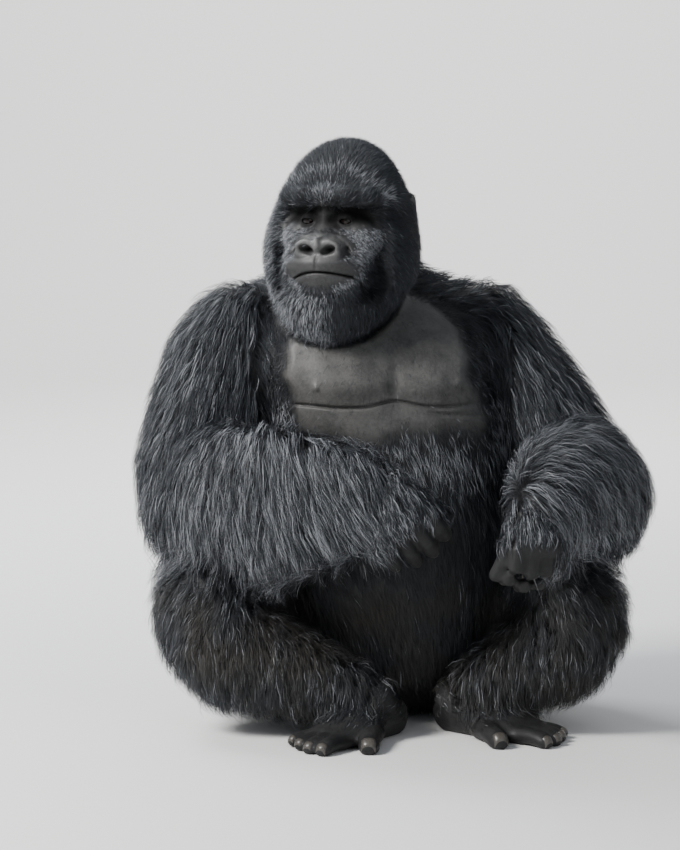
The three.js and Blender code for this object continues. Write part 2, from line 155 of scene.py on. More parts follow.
optics = bpy.data.cameras.new("camera")
optics.lens = LENS
optics.sensor_width = 36.0
optics.sensor_fit = "AUTO"
back = np.array([0.0, -math.cos(CAMERA_RISE), math.sin(CAMERA_RISE)])
place = np.array(CAMERA_TARGET) + CAMERA_DISTANCE * back
bpy.context.scene.camera = add_object("camera", optics, place, CAMERA_TARGET)

for name, (place, target, size, power, colour) in LIGHTS.items():
    lamp = bpy.data.lights.new(name, "AREA")
    lamp.size = size
    lamp.energy = power
    lamp.color = colour
    add_object(name, lamp, place, target)
report("camera and", len(LIGHTS), "lights")

# %% [markdown]
# ## Floor and sky
#
# The floor curves up into a wall far behind, so that no horizon shows: it is one profile
# carried sideways. A dim bluish world fills the shadows from all around.

# %% Floor and sky
WALL_START = 7.0
WALL_BEND = 2.5
HALF_WIDTH = 16.0

turn = np.linspace(0.0, math.pi / 2, 24)
deep = np.concatenate([[-14.0], WALL_START + WALL_BEND * np.sin(turn), [WALL_START + WALL_BEND]])
high = np.concatenate([[0.0], WALL_BEND * (1.0 - np.cos(turn)), [14.0]])
wide = np.repeat([-HALF_WIDTH, HALF_WIDTH], len(deep))
first = np.arange(len(deep) - 1)
faces = np.stack([first, first + len(deep), first + len(deep) + 1, first + 1], axis=1)
floor = add_quads("floor", np.stack([wide, np.tile(deep, 2), np.tile(high, 2)], axis=1), faces)
material, shader = new_material("floor")
shader.inputs["Base Color"].default_value = (0.80, 0.79, 0.775, 1.0)
shader.inputs["Roughness"].default_value = 0.85
floor.data.materials.append(material)
floor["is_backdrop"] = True

world = bpy.data.worlds.new("studio")
world.use_nodes = True
sky = world.node_tree.nodes["Background"]
sky.inputs["Color"].default_value = (0.8, 0.86, 0.95, 1.0)
sky.inputs["Strength"].default_value = 0.45
bpy.context.scene.world = world
report("floor of", len(faces), "faces")

# %% [markdown]
# ## How far is it to the body?
#
# The skin has to lie inside the solids by the depth of the coat, with no seam where
# two solids meet. Meshes are awkward for that, and distances are easy: a block of numbers
# holds, for each place in space, how far it is to the surface, negative inside. To join
# two bodies is then to take the smaller number, to shrink one is to add, and to smooth
# its facets is to blur. OpenVDB comes with Blender and works out the first distances.

# %% Blocks of distances
VOXEL = 0.006
MARGIN = 0.03
NODE_BAND = 14.0


class Block:
    """A box of evenly spaced places, with one number or more for each place."""

    def __init__(self, low, high, step):
        self.low = np.asarray(low, float)
        self.step = step
        self.shape = tuple(np.ceil((np.asarray(high) - self.low) / step).astype(int) + 1)

    def ticks(self, axis):
        return self.low[axis] + self.step * np.arange(self.shape[axis])


def distances(block, points, faces, band):
    """Signed distance to a closed mesh at every place of a block, out to `band` steps."""
    kind = "quads" if faces.shape[1] == 4 else "triangles"
    placed = ((points - block.low) / block.step).astype(np.float32)
    grid = openvdb.FloatGrid.createLevelSetFromPolygons(
        placed, **{kind: faces.astype(np.uint32)}, halfWidth=band)
    values = np.full(block.shape, band, np.float32)
    grid.copyToArray(values)
    return values * block.step


def node_distances(block, name, band):
    return distances(block, *arrays_of(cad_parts[name].data), band)


def rejoined(block, fields, band, gap):
    """One body from several: the smallest distance, with gaps up to `gap` closed."""
    whole = np.minimum.reduce(fields) - gap
    grid = openvdb.FloatGrid(float(whole.max()))
    grid.copyFromArray(whole)
    points, quads = grid.convertToQuads(isovalue=0.0)
    return distances(block, points * block.step + block.low, quads, band)


def blurred(values, sigma):
    """Each number mixed with its neighbours, with the weights of a bell curve."""
    reach = int(math.ceil(2.6 * sigma))
    weights = np.exp(-0.5 * (np.arange(-reach, reach + 1) / sigma) ** 2)
    weights = (weights / weights.sum()).astype(np.float32)
    for axis in range(3):
        padded = np.pad(values, [(reach, reach) if a == axis else (0, 0) for a in range(3)], mode="edge")
        total = np.zeros_like(values)
        for k, weight in enumerate(weights):
            part = [slice(None)] * 3
            part[axis] = slice(k, k + values.shape[axis])
            total += weight * padded[tuple(part)]
        values = total
    return values


def mixed(values, at):
    """Numbers of a block between its crossings: the eight round each place, by nearness."""
    at = np.clip(at, 0.0, np.array(values.shape[:3]) - 1.001)
    base = at.astype(int)
    part = (at - base).astype(np.float32)
    total = 0.0
    for corner in range(8):
        pick = np.array([(corner >> a) & 1 for a in range(3)])
        weight = np.prod(np.where(pick, part, 1.0 - part), axis=1)
        total = total + (weight * values[tuple((base + pick).T)].T).T
    return total


body_block = Block(np.array(CAD_BOX[0]) - MARGIN, np.array(CAD_BOX[1]) + MARGIN, VOXEL)
NODES = [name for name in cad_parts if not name.startswith("eye")]
node_fields = {name: node_distances(body_block, name, NODE_BAND) for name in NODES}
report("distances on", body_block.shape)

# %% [markdown]
# ## Solids that grow together
#
# An arm has to flow into its shoulder, but must not melt into the belly that it
# rests on. So the solids are joined in groups: the trunk with the roots of the limbs,
# and each limb by itself. Within a group the facets are blurred away; between the groups
# the crease stays sharp.

# %% Groups of solids that the skin joins
SIDE_NAMES = ("right", "left")
GAP = 0.0012
GROUP_BAND = 20.0
SOFTENING = 1.5
GROUPS = {"trunk": ["rump", "belly", "chest", "neck", "head"]}
for side in SIDE_NAMES:
    GROUPS["trunk"] += [f"thigh_{side}", f"upper_arm_{side}", f"ear_{side}"]
    GROUPS[f"arm_{side}"] = [f"upper_arm_{side}", f"forearm_{side}", f"hand_{side}"]
    GROUPS[f"leg_{side}"] = [f"thigh_{side}", f"lower_leg_{side}", f"foot_{side}"]

group_fields = {}
for name, members in GROUPS.items():
    whole = rejoined(body_block, [node_fields[n] for n in members], GROUP_BAND, GAP)
    group_fields[name] = blurred(whole, SOFTENING)
outline = np.minimum.reduce(list(group_fields.values()))
report("groups joined and smoothed:", ", ".join(GROUPS))

# %% [markdown]
# ## Where the skin is bare
#
# Face and breast are bare, and many later steps ask where they are. The face has its own
# frame: millimetres across, forward and up from the point between the eyes, turned as
# the head is. The breast is a shield whose edges are given height by height. Both
# answers are masks: 1 on bare skin, 0 under the coat, and a soft step between.

# %% Frames and masks
def smooth(value, low, high):
    """0 below low, 1 above high, and an S-shaped step between them."""
    t = np.clip((value - low) / (high - low), 0.0, 1.0)
    return t * t * (3.0 - 2.0 * t)


def fade(value, low, high):
    """The same step downwards: 1 below low and 0 above high."""
    return 1.0 - smooth(value, low, high)


def bell(away, width):
    """The curve exp(-(away / width) squared): 1 in the middle, and soon 0 on both sides."""
    return np.exp(-(away / width) ** 2)


def box(name):
    """The low and the high corner of a solid, as an array of two rows."""
    return np.array([list(corner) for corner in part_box(name)])


def turned(vector, angle):
    """A vector turned about the vertical, clockwise from above."""
    c, s = math.cos(angle), math.sin(angle)
    return np.array([c * vector[0] + s * vector[1], -s * vector[0] + c * vector[1], vector[2]])


EYES = [box(f"eye_{side}").mean(axis=0) for side in SIDE_NAMES]
EYE_MIDDLE = (EYES[0] + EYES[1]) / 2
EYE_RADIUS = float(np.ptp(box("eye_right")[:, 2])) / 2
FACE_TURN = math.radians(5.0)
ACROSS = turned((EYES[1] - EYES[0]) / np.linalg.norm(EYES[1] - EYES[0]), FACE_TURN)
FORWARD = np.array([ACROSS[1], -ACROSS[0], 0.0])


def in_face(x, y, z):
    """Places as millimetres across (to its left), forward and up from between the eyes."""
    dx, dy, dz = x - EYE_MIDDLE[0], y - EYE_MIDDLE[1], z - EYE_MIDDLE[2]
    across = (dx * ACROSS[0] + dy * ACROSS[1]) * 1000.0
    forward = (dx * FORWARD[0] + dy * FORWARD[1]) * 1000.0
    return across, forward, dz * 1000.0


def face_mask(across, forward, up):
    """1 on the bare face: brows, eyes, nose and muzzle, down to the lower lip."""
    upper = np.cbrt(np.abs(across / 100.0) ** 3 + np.abs((up + 24.0) / 55.0) ** 3)
    lower = np.sqrt((across / 78.0) ** 2 + ((up + 76.0) / 54.0) ** 2)
    bare = fade(np.minimum(upper, lower), 0.88, 1.06)
    return bare * smooth(forward, -40.0, -14.0)


# the ball of head and beard that hides the throat: its middle and its three radii
HEAD_BALL = np.array([[-0.115, -0.050, 0.905], [0.165, 0.20, 0.198]])
# height, and the right and left edge of the bare breast at that height
BREAST_EDGES = np.array([
    [0.545, -0.188, 0.176], [0.593, -0.193, 0.164], [0.620, -0.195, 0.154], [0.675, -0.203, 0.143],
    [0.713, -0.202, 0.129], [0.747, -0.190, 0.106], [0.800, -0.150, 0.072], [0.830, -0.120, 0.050],
    [0.870, -0.080, 0.010]])


def chest_mask(x, y, z):
    """1 on the bare breast: a shield from the throat to below the fold, with uneven edges."""
    sway = 0.006 * np.sin(45.0 * z) + 0.004 * np.sin(110.0 * z + 2.0)
    right = np.interp(z, BREAST_EDGES[:, 0], BREAST_EDGES[:, 1]) + sway
    left = np.interp(z, BREAST_EDGES[:, 0], BREAST_EDGES[:, 2]) + sway
    side = smooth(x, right - 0.020, right + 0.020) * fade(x, left - 0.020, left + 0.020)
    hem = 0.507 + 0.011 * np.sin(24.0 * x) + 0.006 * np.sin(57.0 * x + 1.0)
    tall = smooth(z, hem, hem + 0.070) * fade(z, 0.85, 0.87)
    front = fade(y - 0.5 * np.clip(z - 0.72, 0.0, 0.2), -0.02, 0.06)
    middle, radii = HEAD_BALL
    head = np.sqrt(((x - middle[0]) / radii[0]) ** 2 + ((y - middle[1]) / radii[1]) ** 2
                   + ((z - middle[2]) / radii[2]) ** 2)
    return side * tall * front * smooth(head, 0.97, 1.05)


def box_mask(points, names):
    """1 in the boxes of some solids, and fading over 12 mm outside them."""
    near = np.zeros(len(points))
    for name in names:
        low, high = box(name)
        outside = np.maximum(np.maximum(low - points, points - high), 0.0)
        near = np.maximum(near, fade(np.linalg.norm(outside, axis=1), 0.0, 0.012))
    return near


report("eyes", np.round(EYES, 4).tolist(), "forward", np.round(FORWARD, 3).tolist())

# %% [markdown]
# ## The depth of the coat
#
# A silverback's hair is longest on the arms, short on the head and back of the hands, and
# missing on the face, chest, palms and soles. The depth is a smooth map in space: each
# solid has its own depth, and a place between two solids takes a mix. Hair that hangs
# from the underside of a forearm makes it look thicker, so the depth grows there.

# %% The depth map
COAT_DEPTH = {
    "rump": 0.018, "belly": 0.013, "chest": 0.018, "neck": 0.018, "head": 0.011, "ear": 0.0,
    "thigh": 0.020, "lower_leg": 0.019, "foot": 0.004,
    "upper_arm": 0.024, "forearm": 0.028, "hand": 0.007,
}
HANG = {"arm_right": 0.040, "arm_left": 0.026, "leg_right": 0.008, "leg_left": 0.008}

share = np.zeros(body_block.shape, np.float32)
depth = np.zeros(body_block.shape, np.float32)
for name in NODES:
    weight = np.exp(-np.clip(node_fields[name], 0.0, None) / 0.012) + 1e-6
    share += weight
    depth += weight * COAT_DEPTH[name.removesuffix("_right").removesuffix("_left")]
depth = blurred(depth / share, 2.0)

gx, gy, gz = np.meshgrid(*(body_block.ticks(a) for a in range(3)), indexing="ij", sparse=True)
arms = np.minimum.reduce([node_fields[name] for name in NODES if "arm" in name])
chest_here = chest_mask(gx, gy, gz) * smooth(arms, 0.0, 0.012)
depth = depth * (1.0 - 0.93 * face_mask(*in_face(gx, gy, gz))) * (1.0 - 0.85 * chest_here)
depth = depth * (0.15 + 0.85 * smooth(gz, 0.004, 0.05))
report("coat depth from", round(float(depth.min()), 4), "to", round(float(depth.max()), 4))

skin_parts = {}
for name, field in group_fields.items():
    skin_parts[name] = field + depth
    if name in HANG:
        hanging = HANG[name] * np.clip(-np.gradient(field, VOXEL, axis=2), 0.0, 1.0) ** 1.5
        limb = np.minimum.reduce([node_fields[n] for n in GROUPS[name] if n.startswith(("forearm", "lower"))])
        skin_parts[name] += blurred(hanging * fade(limb, 0.0, 0.03), SOFTENING)
report("coarse skin ready")

# %% [markdown]
# ## Finer steps where the eye looks
#
# The back needs a point every eight millimetres, the face every millimetre and a half.
# So the final block has uneven steps: along each axis the spacing shrinks as it passes
# the face, the hands and the feet. The numbers of the coarse block are carried over along
# one axis at a time with a cubic curve, which is fast and keeps the surface smooth.

# %% Uneven steps
# stops along each axis: place in metres, and the spacing there in millimetres
STOPS = [
    [(-0.53, 9), (-0.27, 8), (-0.235, 2.4), (-0.215, 1.6), (-0.035, 1.6), (-0.01, 3.6),
     (0.31, 3.6), (0.36, 8), (0.53, 9)],
    [(-0.43, 4), (-0.19, 4), (-0.172, 1.6), (-0.075, 1.6), (-0.03, 4.5), (0.10, 6), (0.18, 8), (0.43, 9)],
    [(-0.02, 3.4), (0.08, 3.6), (0.13, 8), (0.25, 8), (0.29, 3.6), (0.49, 3.6), (0.53, 6),
     (0.575, 3.4), (0.588, 2.0), (0.612, 2.0), (0.63, 4), (0.68, 7), (0.79, 6), (0.815, 1.6),
     (0.99, 1.6), (1.02, 4), (1.12, 5)],
]


def uneven(stops):
    """Places along an axis whose spacing follows the stops."""
    places, spacing = np.array(stops).T
    fine = np.linspace(places[0], places[-1], 20001)
    passed = np.cumsum(1000.0 / np.interp(fine, places, spacing)) * (fine[1] - fine[0])
    return np.interp(np.arange(int(passed[-1])), passed, fine)


def cubic_shares(source, places):
    """For each place, the first of four even source ticks around it, and their shares."""
    step = source[1] - source[0]
    at = np.clip((places - source[0]) / step, 1.0, len(source) - 2.001)
    base = at.astype(int)
    t = at - base
    shares = np.stack([
        0.5 * (-t + 2 * t * t - t ** 3),
        0.5 * (2 - 5 * t * t + 3 * t ** 3),
        0.5 * (t + 4 * t * t - 3 * t ** 3),
        0.5 * (-t * t + t ** 3),
    ])
    return base - 1, shares.astype(np.float32)


def carried(block, values, axes):
    """The block's numbers at every crossing of three lists of places."""
    for axis in range(3):
        first, shares = cubic_shares(block.ticks(axis), axes[axis])
        spread = [1, 1, 1]
        spread[axis] = len(first)
        total = None
        for k in range(4):
            part = np.take(values, np.clip(first + k, 0, block.shape[axis] - 1), axis=axis)
            part *= shares[k].reshape(spread)
            total = part if total is None else np.add(total, part, out=total)
        values = total
    return values


def window(low, high):
    """Slices of the fine block that cover a box."""
    return tuple(slice(int(np.searchsorted(AXES[a], low[a])), int(np.searchsorted(AXES[a], high[a])) + 1)
                 for a in range(3))


def places_in(cut):
    """The three coordinates of every crossing in a window of the fine block."""
    return np.meshgrid(*(AXES[a][cut[a]].astype(np.float32) for a in range(3)), indexing="ij")


AXES = [uneven(stops) for stops in STOPS]
skin = carried(body_block, skin_parts["trunk"], AXES)
for name in GROUPS:
    if name != "trunk":
        np.minimum(skin, carried(body_block, skin_parts[name], AXES), out=skin)
report("fine block", skin.shape)

# %% [markdown]
# ## Hands, feet and ears
#
# Fingers, toes and the rims of the ears are thinner than two steps of the coarse block,
# so they would blur away. Each gets a small block of its own with steps of 2.5 mm, and
# is then joined to the limb with a fillet, as flesh is.

# %% Hands, feet and ears from blocks of their own
DETAILS = {
    "hand_right": 0.0015, "hand_left": 0.0015, "foot_right": 0.0008, "foot_left": 0.0008,
    "ear_right": -0.0005, "ear_left": -0.0005,
}
DETAIL_STEP = 0.0025
DETAIL_MARGIN = 0.016
DETAIL_BAND = 6.0
FILLET = 0.012


def softer_min(a, b, width):
    """The smaller of two distances, with a fillet of about `width` where they meet."""
    h = np.clip(0.5 + 0.5 * (b - a) / width, 0.0, 1.0)
    return b + (a - b) * h - width * h * (1.0 - h)


for name, inset in DETAILS.items():
    low, high = box(name)
    block = Block(low - DETAIL_MARGIN, high + DETAIL_MARGIN, DETAIL_STEP)
    field = blurred(node_distances(block, name, DETAIL_BAND), 1.1)
    cut = window(low - FILLET, high + FILLET)
    near = carried(block, field + inset, [AXES[a][cut[a]] for a in range(3)])
    skin[cut] = softer_min(skin[cut], near, FILLET)
report("added", ", ".join(DETAILS))

# %% [markdown]
# ## Forms for a face
#
# A gorilla's face is a few strong forms: a bar of bone over the eyes, a deep hollow
# under it, a flat nose of two padded rings, a rounded muzzle and a wide closed mouth.
# Each form is an ellipsoid, a bar or a ring, given by its distance in millimetres in the
# frame of the face. The soft minimum then grows them together as flesh does.

# %% Forms given by their distance
def rolled(a, u, roll):
    """Across and up, turned in the plane of the face."""
    c, s = math.cos(roll), math.sin(roll)
    return c * a + s * u, -s * a + c * u


def ellipsoid(p, centre, radii, roll=0.0):
    """Distance, nearly: g (g - 1) / |slope of g|, where g is 1 on the surface."""
    a, f, u = (p[k] - centre[k] for k in range(3))
    a, u = rolled(a, u, roll)
    first = np.sqrt((a / radii[0]) ** 2 + (f / radii[1]) ** 2 + (u / radii[2]) ** 2)
    second = np.sqrt((a / radii[0] ** 2) ** 2 + (f / radii[1] ** 2) ** 2 + (u / radii[2] ** 2) ** 2)
    return first * (first - 1.0) / np.maximum(second, 1e-6)


def bar(p, start, end, radius=0.0, radius_end=0.0):
    """Distance to a straight bar with round ends, whose radius changes along it."""
    start, end = np.array(start, float), np.array(end, float)
    way = end - start
    offset = [p[k] - start[k] for k in range(3)]
    t = np.clip(sum(offset[k] * way[k] for k in range(3)) / (way @ way), 0.0, 1.0)
    away = np.sqrt(sum((offset[k] - t * way[k]) ** 2 for k in range(3)))
    return away - (radius + t * (radius_end - radius))


def ring(p, centre, wide, tall, tube, roll):
    """Distance to an upright oval ring, as tall and wide as given, of a round tube."""
    a, f, u = (p[k] - centre[k] for k in range(3))
    a, u = rolled(a, u, roll)
    size = np.sqrt((a / wide) ** 2 + (u / tall) ** 2)
    return np.sqrt(((size - 1.0) * (wide + tall) / 2) ** 2 + f ** 2) - tube


def crease(p, places, depth_mm, width):
    """How much a crease takes away: a bell across a bent line, given as (across, up)."""
    lines = [bar((p[0], 0.0, p[2]), (a0, 0.0, u0), (a1, 0.0, u1))
             for (a0, u0), (a1, u1) in zip(places, places[1:])]
    return depth_mm * bell(np.minimum.reduce(lines), width)


# %% [markdown]
# ## Bone and flesh of the face
#
# The forms go on one after another, as a sculptor adds clay: first the skull and muzzle,
# then brow bars and cheekbones, bridge, nose, lips and chin, and last the wings of the
# nose. Each row of the list is a form, its place and size as (across, forward, up) in
# millimetres, and the fillet with which it joins what is there. Paired forms are
# given once, for the animal's left side, and mirrored.

# %% The forms of the face
MIDDLE, PAIR = (1.0,), (-1.0, 1.0)
FORMS = [
    (MIDDLE, [(ellipsoid, (0, 0, -80), (85, 62, 53), 16.0)]),
    (PAIR, [(bar, (0, 19, 44), (40, 18, 44), 14.0, 15.0, 14.0),
            (bar, (40, 18, 44), (72, 0, 41), 15.0, 14.0, 12.0),
            (bar, (72, 3, 40), (96, -34, 32), 14.0, 11.0, 8.0),
            (ellipsoid, (54, -18, -30), (36, 34, 36), 14.0)]),
    (MIDDLE, [(ellipsoid, (0, -4, -8), (29, 27, 44), 10.0),
              (bar, (0, 10, -6), (0, 34, -34), 9.0, 13.0, 14.0),
              (ellipsoid, (0, 3, -42), (60, 38, 33), 12.0),
              (ellipsoid, (0, 23, -77), (68, 41, 20), 11.0),
              (ellipsoid, (0, 15, -108), (63, 43, 21), 11.0),
              (ellipsoid, (0, -8, -128), (60, 50, 36), 22.0)]),
    (PAIR, [(ring, (24, 51, -49), 17.5, 12.5, 8.0, -0.25, 3.5)]),
    (MIDDLE, [(ellipsoid, (0, 54, -42), (9, 13, 14), 5.0)]),
]
FACE_LOW = EYE_MIDDLE + np.array([-0.115, -0.085, -0.165])
FACE_HIGH = EYE_MIDDLE + np.array([0.125, 0.07, 0.085])
face_cut = window(FACE_LOW, FACE_HIGH)
across, forward, up = in_face(*places_in(face_cut))

skull = np.sqrt(across ** 2 + (forward + 88.0) ** 2) - 92.0
form = np.maximum(skin[face_cut] * 1000.0, skull)
for sides, rows in FORMS:
    for side in sides:
        for shape, *measures, fillet in rows:
            form = softer_min(form, shape((side * across, forward, up), *measures), fillet)
report("face forms on", form.shape)

# %% [markdown]
# ## Nostrils, lips and creases
#
# What is hollow comes last, and is taken away: the nostrils, the line between the closed
# lips, the groove above them, and the creases that run from the wings of the nose,
# round the pouches under the eyes and between the brows. A soft maximum is a soft
# minimum of the two numbers turned negative.

# %% Carve the face
def mouth_line(across):
    """How high the closed lips meet: an arch that drops more to the right corner."""
    return -91.0 - np.where(across < 0.0, 0.0056, 0.0026) * across ** 2


ahead = smooth(forward, -6.0, 12.0)
for side in PAIR:
    hole = ellipsoid((side * across, forward, up), (20.5, 60, -51), (15.5, 20, 7.6), 0.38)
    form = -softer_min(-form, hole, 3.0)
lips = ahead * fade(np.abs(across - 4.0), 60.0, 80.0)
form = form + lips * 6.0 * bell(up - mouth_line(across), 1.6)
form = form - lips * 1.6 * bell(up - mouth_line(across) + 9.0, 6.0)
form = form + ahead * crease((across, forward, up), [(0, -64), (0, -84)], 2.0, 2.6)
for side in PAIR:
    here = (side * across, forward, up)
    cheek = crease(here, [(47, -50), (60, -65), (77, -76), (91, -106)], 6.5, 5.0)
    corner = crease(here, [(68, mouth_line(side * 68.0)), (74, -120)], 4.0, 3.5)
    pouch = crease(here, [(17, -16), (32, -23), (50, -19)], 1.8, 2.4)
    wing = crease(here, [(8, -29), (26, -27), (45, -40), (48, -56)], 2.2, 3.2)
    frown = crease(here, [(9, 20), (7, 40)], 1.8, 2.6)
    form = form + cheek * smooth(forward, -30.0, 0.0) + ahead * corner + pouch + ahead * wing + frown
for height in (-4, 4, 12):
    bridge = [(-14, height), (0, height + 3), (14, height)]
    form = form + crease((across, forward, up), bridge, 0.8, 1.6)
report("nostrils, lips and creases")

# %% [markdown]
# ## Lids
#
# An eyeball is a ball of its own, and the lids are a thin shell round it that leaves an
# almond-shaped opening. The socket is hollowed first, and last of all the flesh is
# cleared out of the ball, so that lid and eye touch without cutting into each other.

# %% Lids
LID = 2.2
LID_WIDE = 11.5
LID_HIGH = 4.8
LID_GAP = 0.35

radius = EYE_RADIUS * 1000.0
for eye in EYES:
    ea, ef, eu = in_face(*(np.float32(v) for v in eye))
    a, f, u = across - ea, forward - ef, up - eu
    away = np.sqrt(a * a + f * f + u * u)
    socket = ellipsoid((a, f, u), (0, 24, 5), (27, 19, 14))
    form = -softer_min(-form, socket, 8.0)
    shell = np.maximum(away - radius - LID, -(f + 4.0))
    form = softer_min(form, shell, 9.0)
    opening = (np.sqrt((a / LID_WIDE) ** 2 + ((u + 0.8) / LID_HIGH) ** 2) - 1.0) * LID_HIGH
    form = np.maximum(form, -np.maximum(opening, -f))
    form = np.maximum(form, radius + LID_GAP - away)

blend = smooth(forward, -46.0, -14.0) * fade(np.abs(across), 86.0, 114.0)
blend = blend * smooth(up, -162.0, -112.0) * fade(up, 58.0, 78.0)
skin[face_cut] = skin[face_cut] * (1.0 - blend) + form * 0.001 * blend
report("lids, and the face is part of the skin")

# %% [markdown]
# ## The bare chest, and the seat
#
# Under the face the coat gives way to grey skin over two heavy breasts, with a deep
# fold beneath them. The fold is a bell across a line, taken out of the body. At the end
# everything is cut off just above the floor, which leaves flats where the animal sits
# and stands.

# %% Chest fold, nipples, and the flat seat
CHEST_LOW = (-0.26, -0.30, 0.53)
CHEST_HIGH = (0.24, 0.02, 0.86)
NIPPLES = [(-0.145, 0.634), (0.118, 0.640)]
BREASTBONE = 0.001
FLOOR_CLEAR = 0.0006


def fold_height(x):
    """Under each breast the fold hangs in an arc, and the two arcs meet in a peak."""
    side = np.abs(x - BREASTBONE)
    return 0.5965 + 0.0115 * bell(side, 0.040) + 0.004 * smooth(side, 0.10, 0.17)


cut = window(CHEST_LOW, CHEST_HIGH)
cx, cy, cz = places_in(cut)
fold = 0.0065 * bell(cz - fold_height(cx), 0.0028)
second = 0.0035 * bell(cz - 0.587 + 0.10 * (cx - 0.05), 0.0035) * smooth(cx, 0.02, 0.09)
groove = 0.0045 * bell(cx - BREASTBONE, 0.011)
groove = groove * smooth(cz, 0.60, 0.63) * fade(cz, 0.72, 0.80)
relief = (fold + second) * fade(np.abs(cx), 0.17, 0.22) + groove
for nx, nz in NIPPLES:
    away = np.sqrt((cx - nx) ** 2 + (cz - nz) ** 2)
    relief = relief - 0.004 * bell(away, 0.0060) - 0.0012 * bell(away, 0.016)
skin[cut] = skin[cut] + relief * fade(cy, -0.10, -0.04)
np.maximum(skin, (FLOOR_CLEAR - AXES[2])[None, None, :].astype(np.float32), out=skin)
report("chest and seat")

# %% [markdown]
# ## The skin as a mesh
#
# The surface runs where the numbers pass zero, and OpenVDB turns it into quads. It
# knows only even steps, so it counts in steps, and the corners are then
# carried to their real places along each uneven axis.

# %% The skin as a mesh
CEILING = 0.02

grid = openvdb.FloatGrid(CEILING)
grid.copyFromArray(np.clip(skin, -CEILING, CEILING).astype(np.float32))
counted, skin_quads = grid.convertToQuads(isovalue=0.0)
skin_points = np.stack([np.interp(counted[:, a], np.arange(len(AXES[a])), AXES[a]) for a in range(3)], axis=1)
skin_points[:, 2] = np.maximum(skin_points[:, 2], 0.0)
skin_object = add_quads("skin", skin_points, skin_quads)
report("skin surface", len(skin_points), "corners,", len(skin_quads), "quads")

# %% [markdown]
# ## Fewer faces where hair will hide them
#
# Nobody sees the skin under a thick coat, so faces there can be large. Blender's
# decimate modifier joins the faces that matter least, and a vertex group tells it where
# to spare them: the weight is high under hair and low on face, breast, hands and feet.

# %% Fewer faces where hair will hide them
KEPT_SHARE = 0.23
SPARING = 4e-5


def bareness(points):
    """1 where the skin shows: face, chest, hands, feet and ears; 0 under the coat."""
    x, y, z = points.T
    breast = 0.5 * chest_mask(x, y, z)
    return np.maximum.reduce([face_mask(*in_face(x, y, z)), breast, 0.7 * box_mask(points, DETAILS)])


plain = 1.0 - bareness(skin_points)
group = skin_object.vertex_groups.new(name="plain")
for level in range(11):
    chosen = np.flatnonzero(np.round(plain * 10) == level)
    if len(chosen):
        group.add(chosen.tolist(), level / 10, "REPLACE")
modifier = skin_object.modifiers.new("fewer faces", "DECIMATE")
modifier.ratio = KEPT_SHARE
modifier.vertex_group = "plain"
modifier.vertex_group_factor = SPARING
shaped = skin_object.evaluated_get(bpy.context.evaluated_depsgraph_get())
skin_mesh = bpy.data.meshes.new_from_object(shaped)
skin_object.modifiers.clear()
full_mesh = skin_object.data
skin_object.data = skin_mesh
bpy.data.meshes.remove(full_mesh)
skin_mesh.name = "skin"
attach(skin_object, "root")
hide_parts(*NODES)
report("skin faces", len(skin_mesh.polygons))

# %% [markdown]
# ## A shorthand for nodes
#
# Materials are trees of nodes. To add a node, set its inputs and link it takes several
# lines each time, so this small class does it in one. `step` is the same S-shaped
# step as in numpy, and `layer` reads a number that is stored on the corners of the mesh.

# %% A small helper for nodes
class Nodes:
    """Adds and links the nodes of one tree in short lines."""

    def __init__(self, tree):
        self.tree = tree

    def add(self, kind, inputs=(), **settings):
        node = self.tree.nodes.new(kind)
        for key, value in settings.items():
            setattr(node, key, value)
        for socket, value in dict(inputs).items():
            self.put(value, node.inputs[socket])
        return node

    def put(self, value, socket):
        if isinstance(value, bpy.types.NodeSocket):
            self.tree.links.new(value, socket)
        else:
            socket.default_value = value

    def math(self, operation, a, b=0.5, clamp=False):
        return self.add("ShaderNodeMath", {0: a, 1: b}, operation=operation, use_clamp=clamp).outputs[0]

    def times(self, a, b):
        return self.math("MULTIPLY", a, b)

    def plus(self, a, b, clamp=False):
        return self.math("ADD", a, b, clamp)

    def step(self, value, low, high, to_low=0.0, to_high=1.0):
        inputs = {"Value": value, "From Min": low, "From Max": high, "To Min": to_low, "To Max": to_high}
        return self.add("ShaderNodeMapRange", inputs, interpolation_type="SMOOTHSTEP").outputs[0]

    def mix(self, share, a, b):
        """The colour a where the share is 0, and b where it is 1."""
        inputs = {"Factor": share, 6: a, 7: b}
        return self.add("ShaderNodeMix", inputs, data_type="RGBA").outputs[2]

    def noise(self, vector, scale, detail=3.0, rough=0.55):
        inputs = {"Vector": vector, "Scale": scale, "Detail": detail, "Roughness": rough}
        return self.add("ShaderNodeTexNoise", inputs).outputs["Fac"]

    def cells(self, vector, scale):
        """How far each place is from the edge of its cell, for grain and fine creases."""
        inputs = {"Vector": vector, "Scale": scale}
        return self.add("ShaderNodeTexVoronoi", inputs, feature="DISTANCE_TO_EDGE").outputs["Distance"]

    def layer(self, name):
        return self.add("ShaderNodeAttribute", attribute_name=name).outputs["Fac"]

    def place(self):
        return self.add("ShaderNodeTexCoord").outputs["Object"]


# %% [markdown]
# ## Markings
#
# A silverback has a silver saddle across the back, and hair that turns a little brown
# on the legs. Both the coat and the skin under it must carry them, so that nothing else
# shines through between the tufts. So the markings are one group of nodes that works
# from a place on the body, and both materials use it. Noise makes the edges uneven.

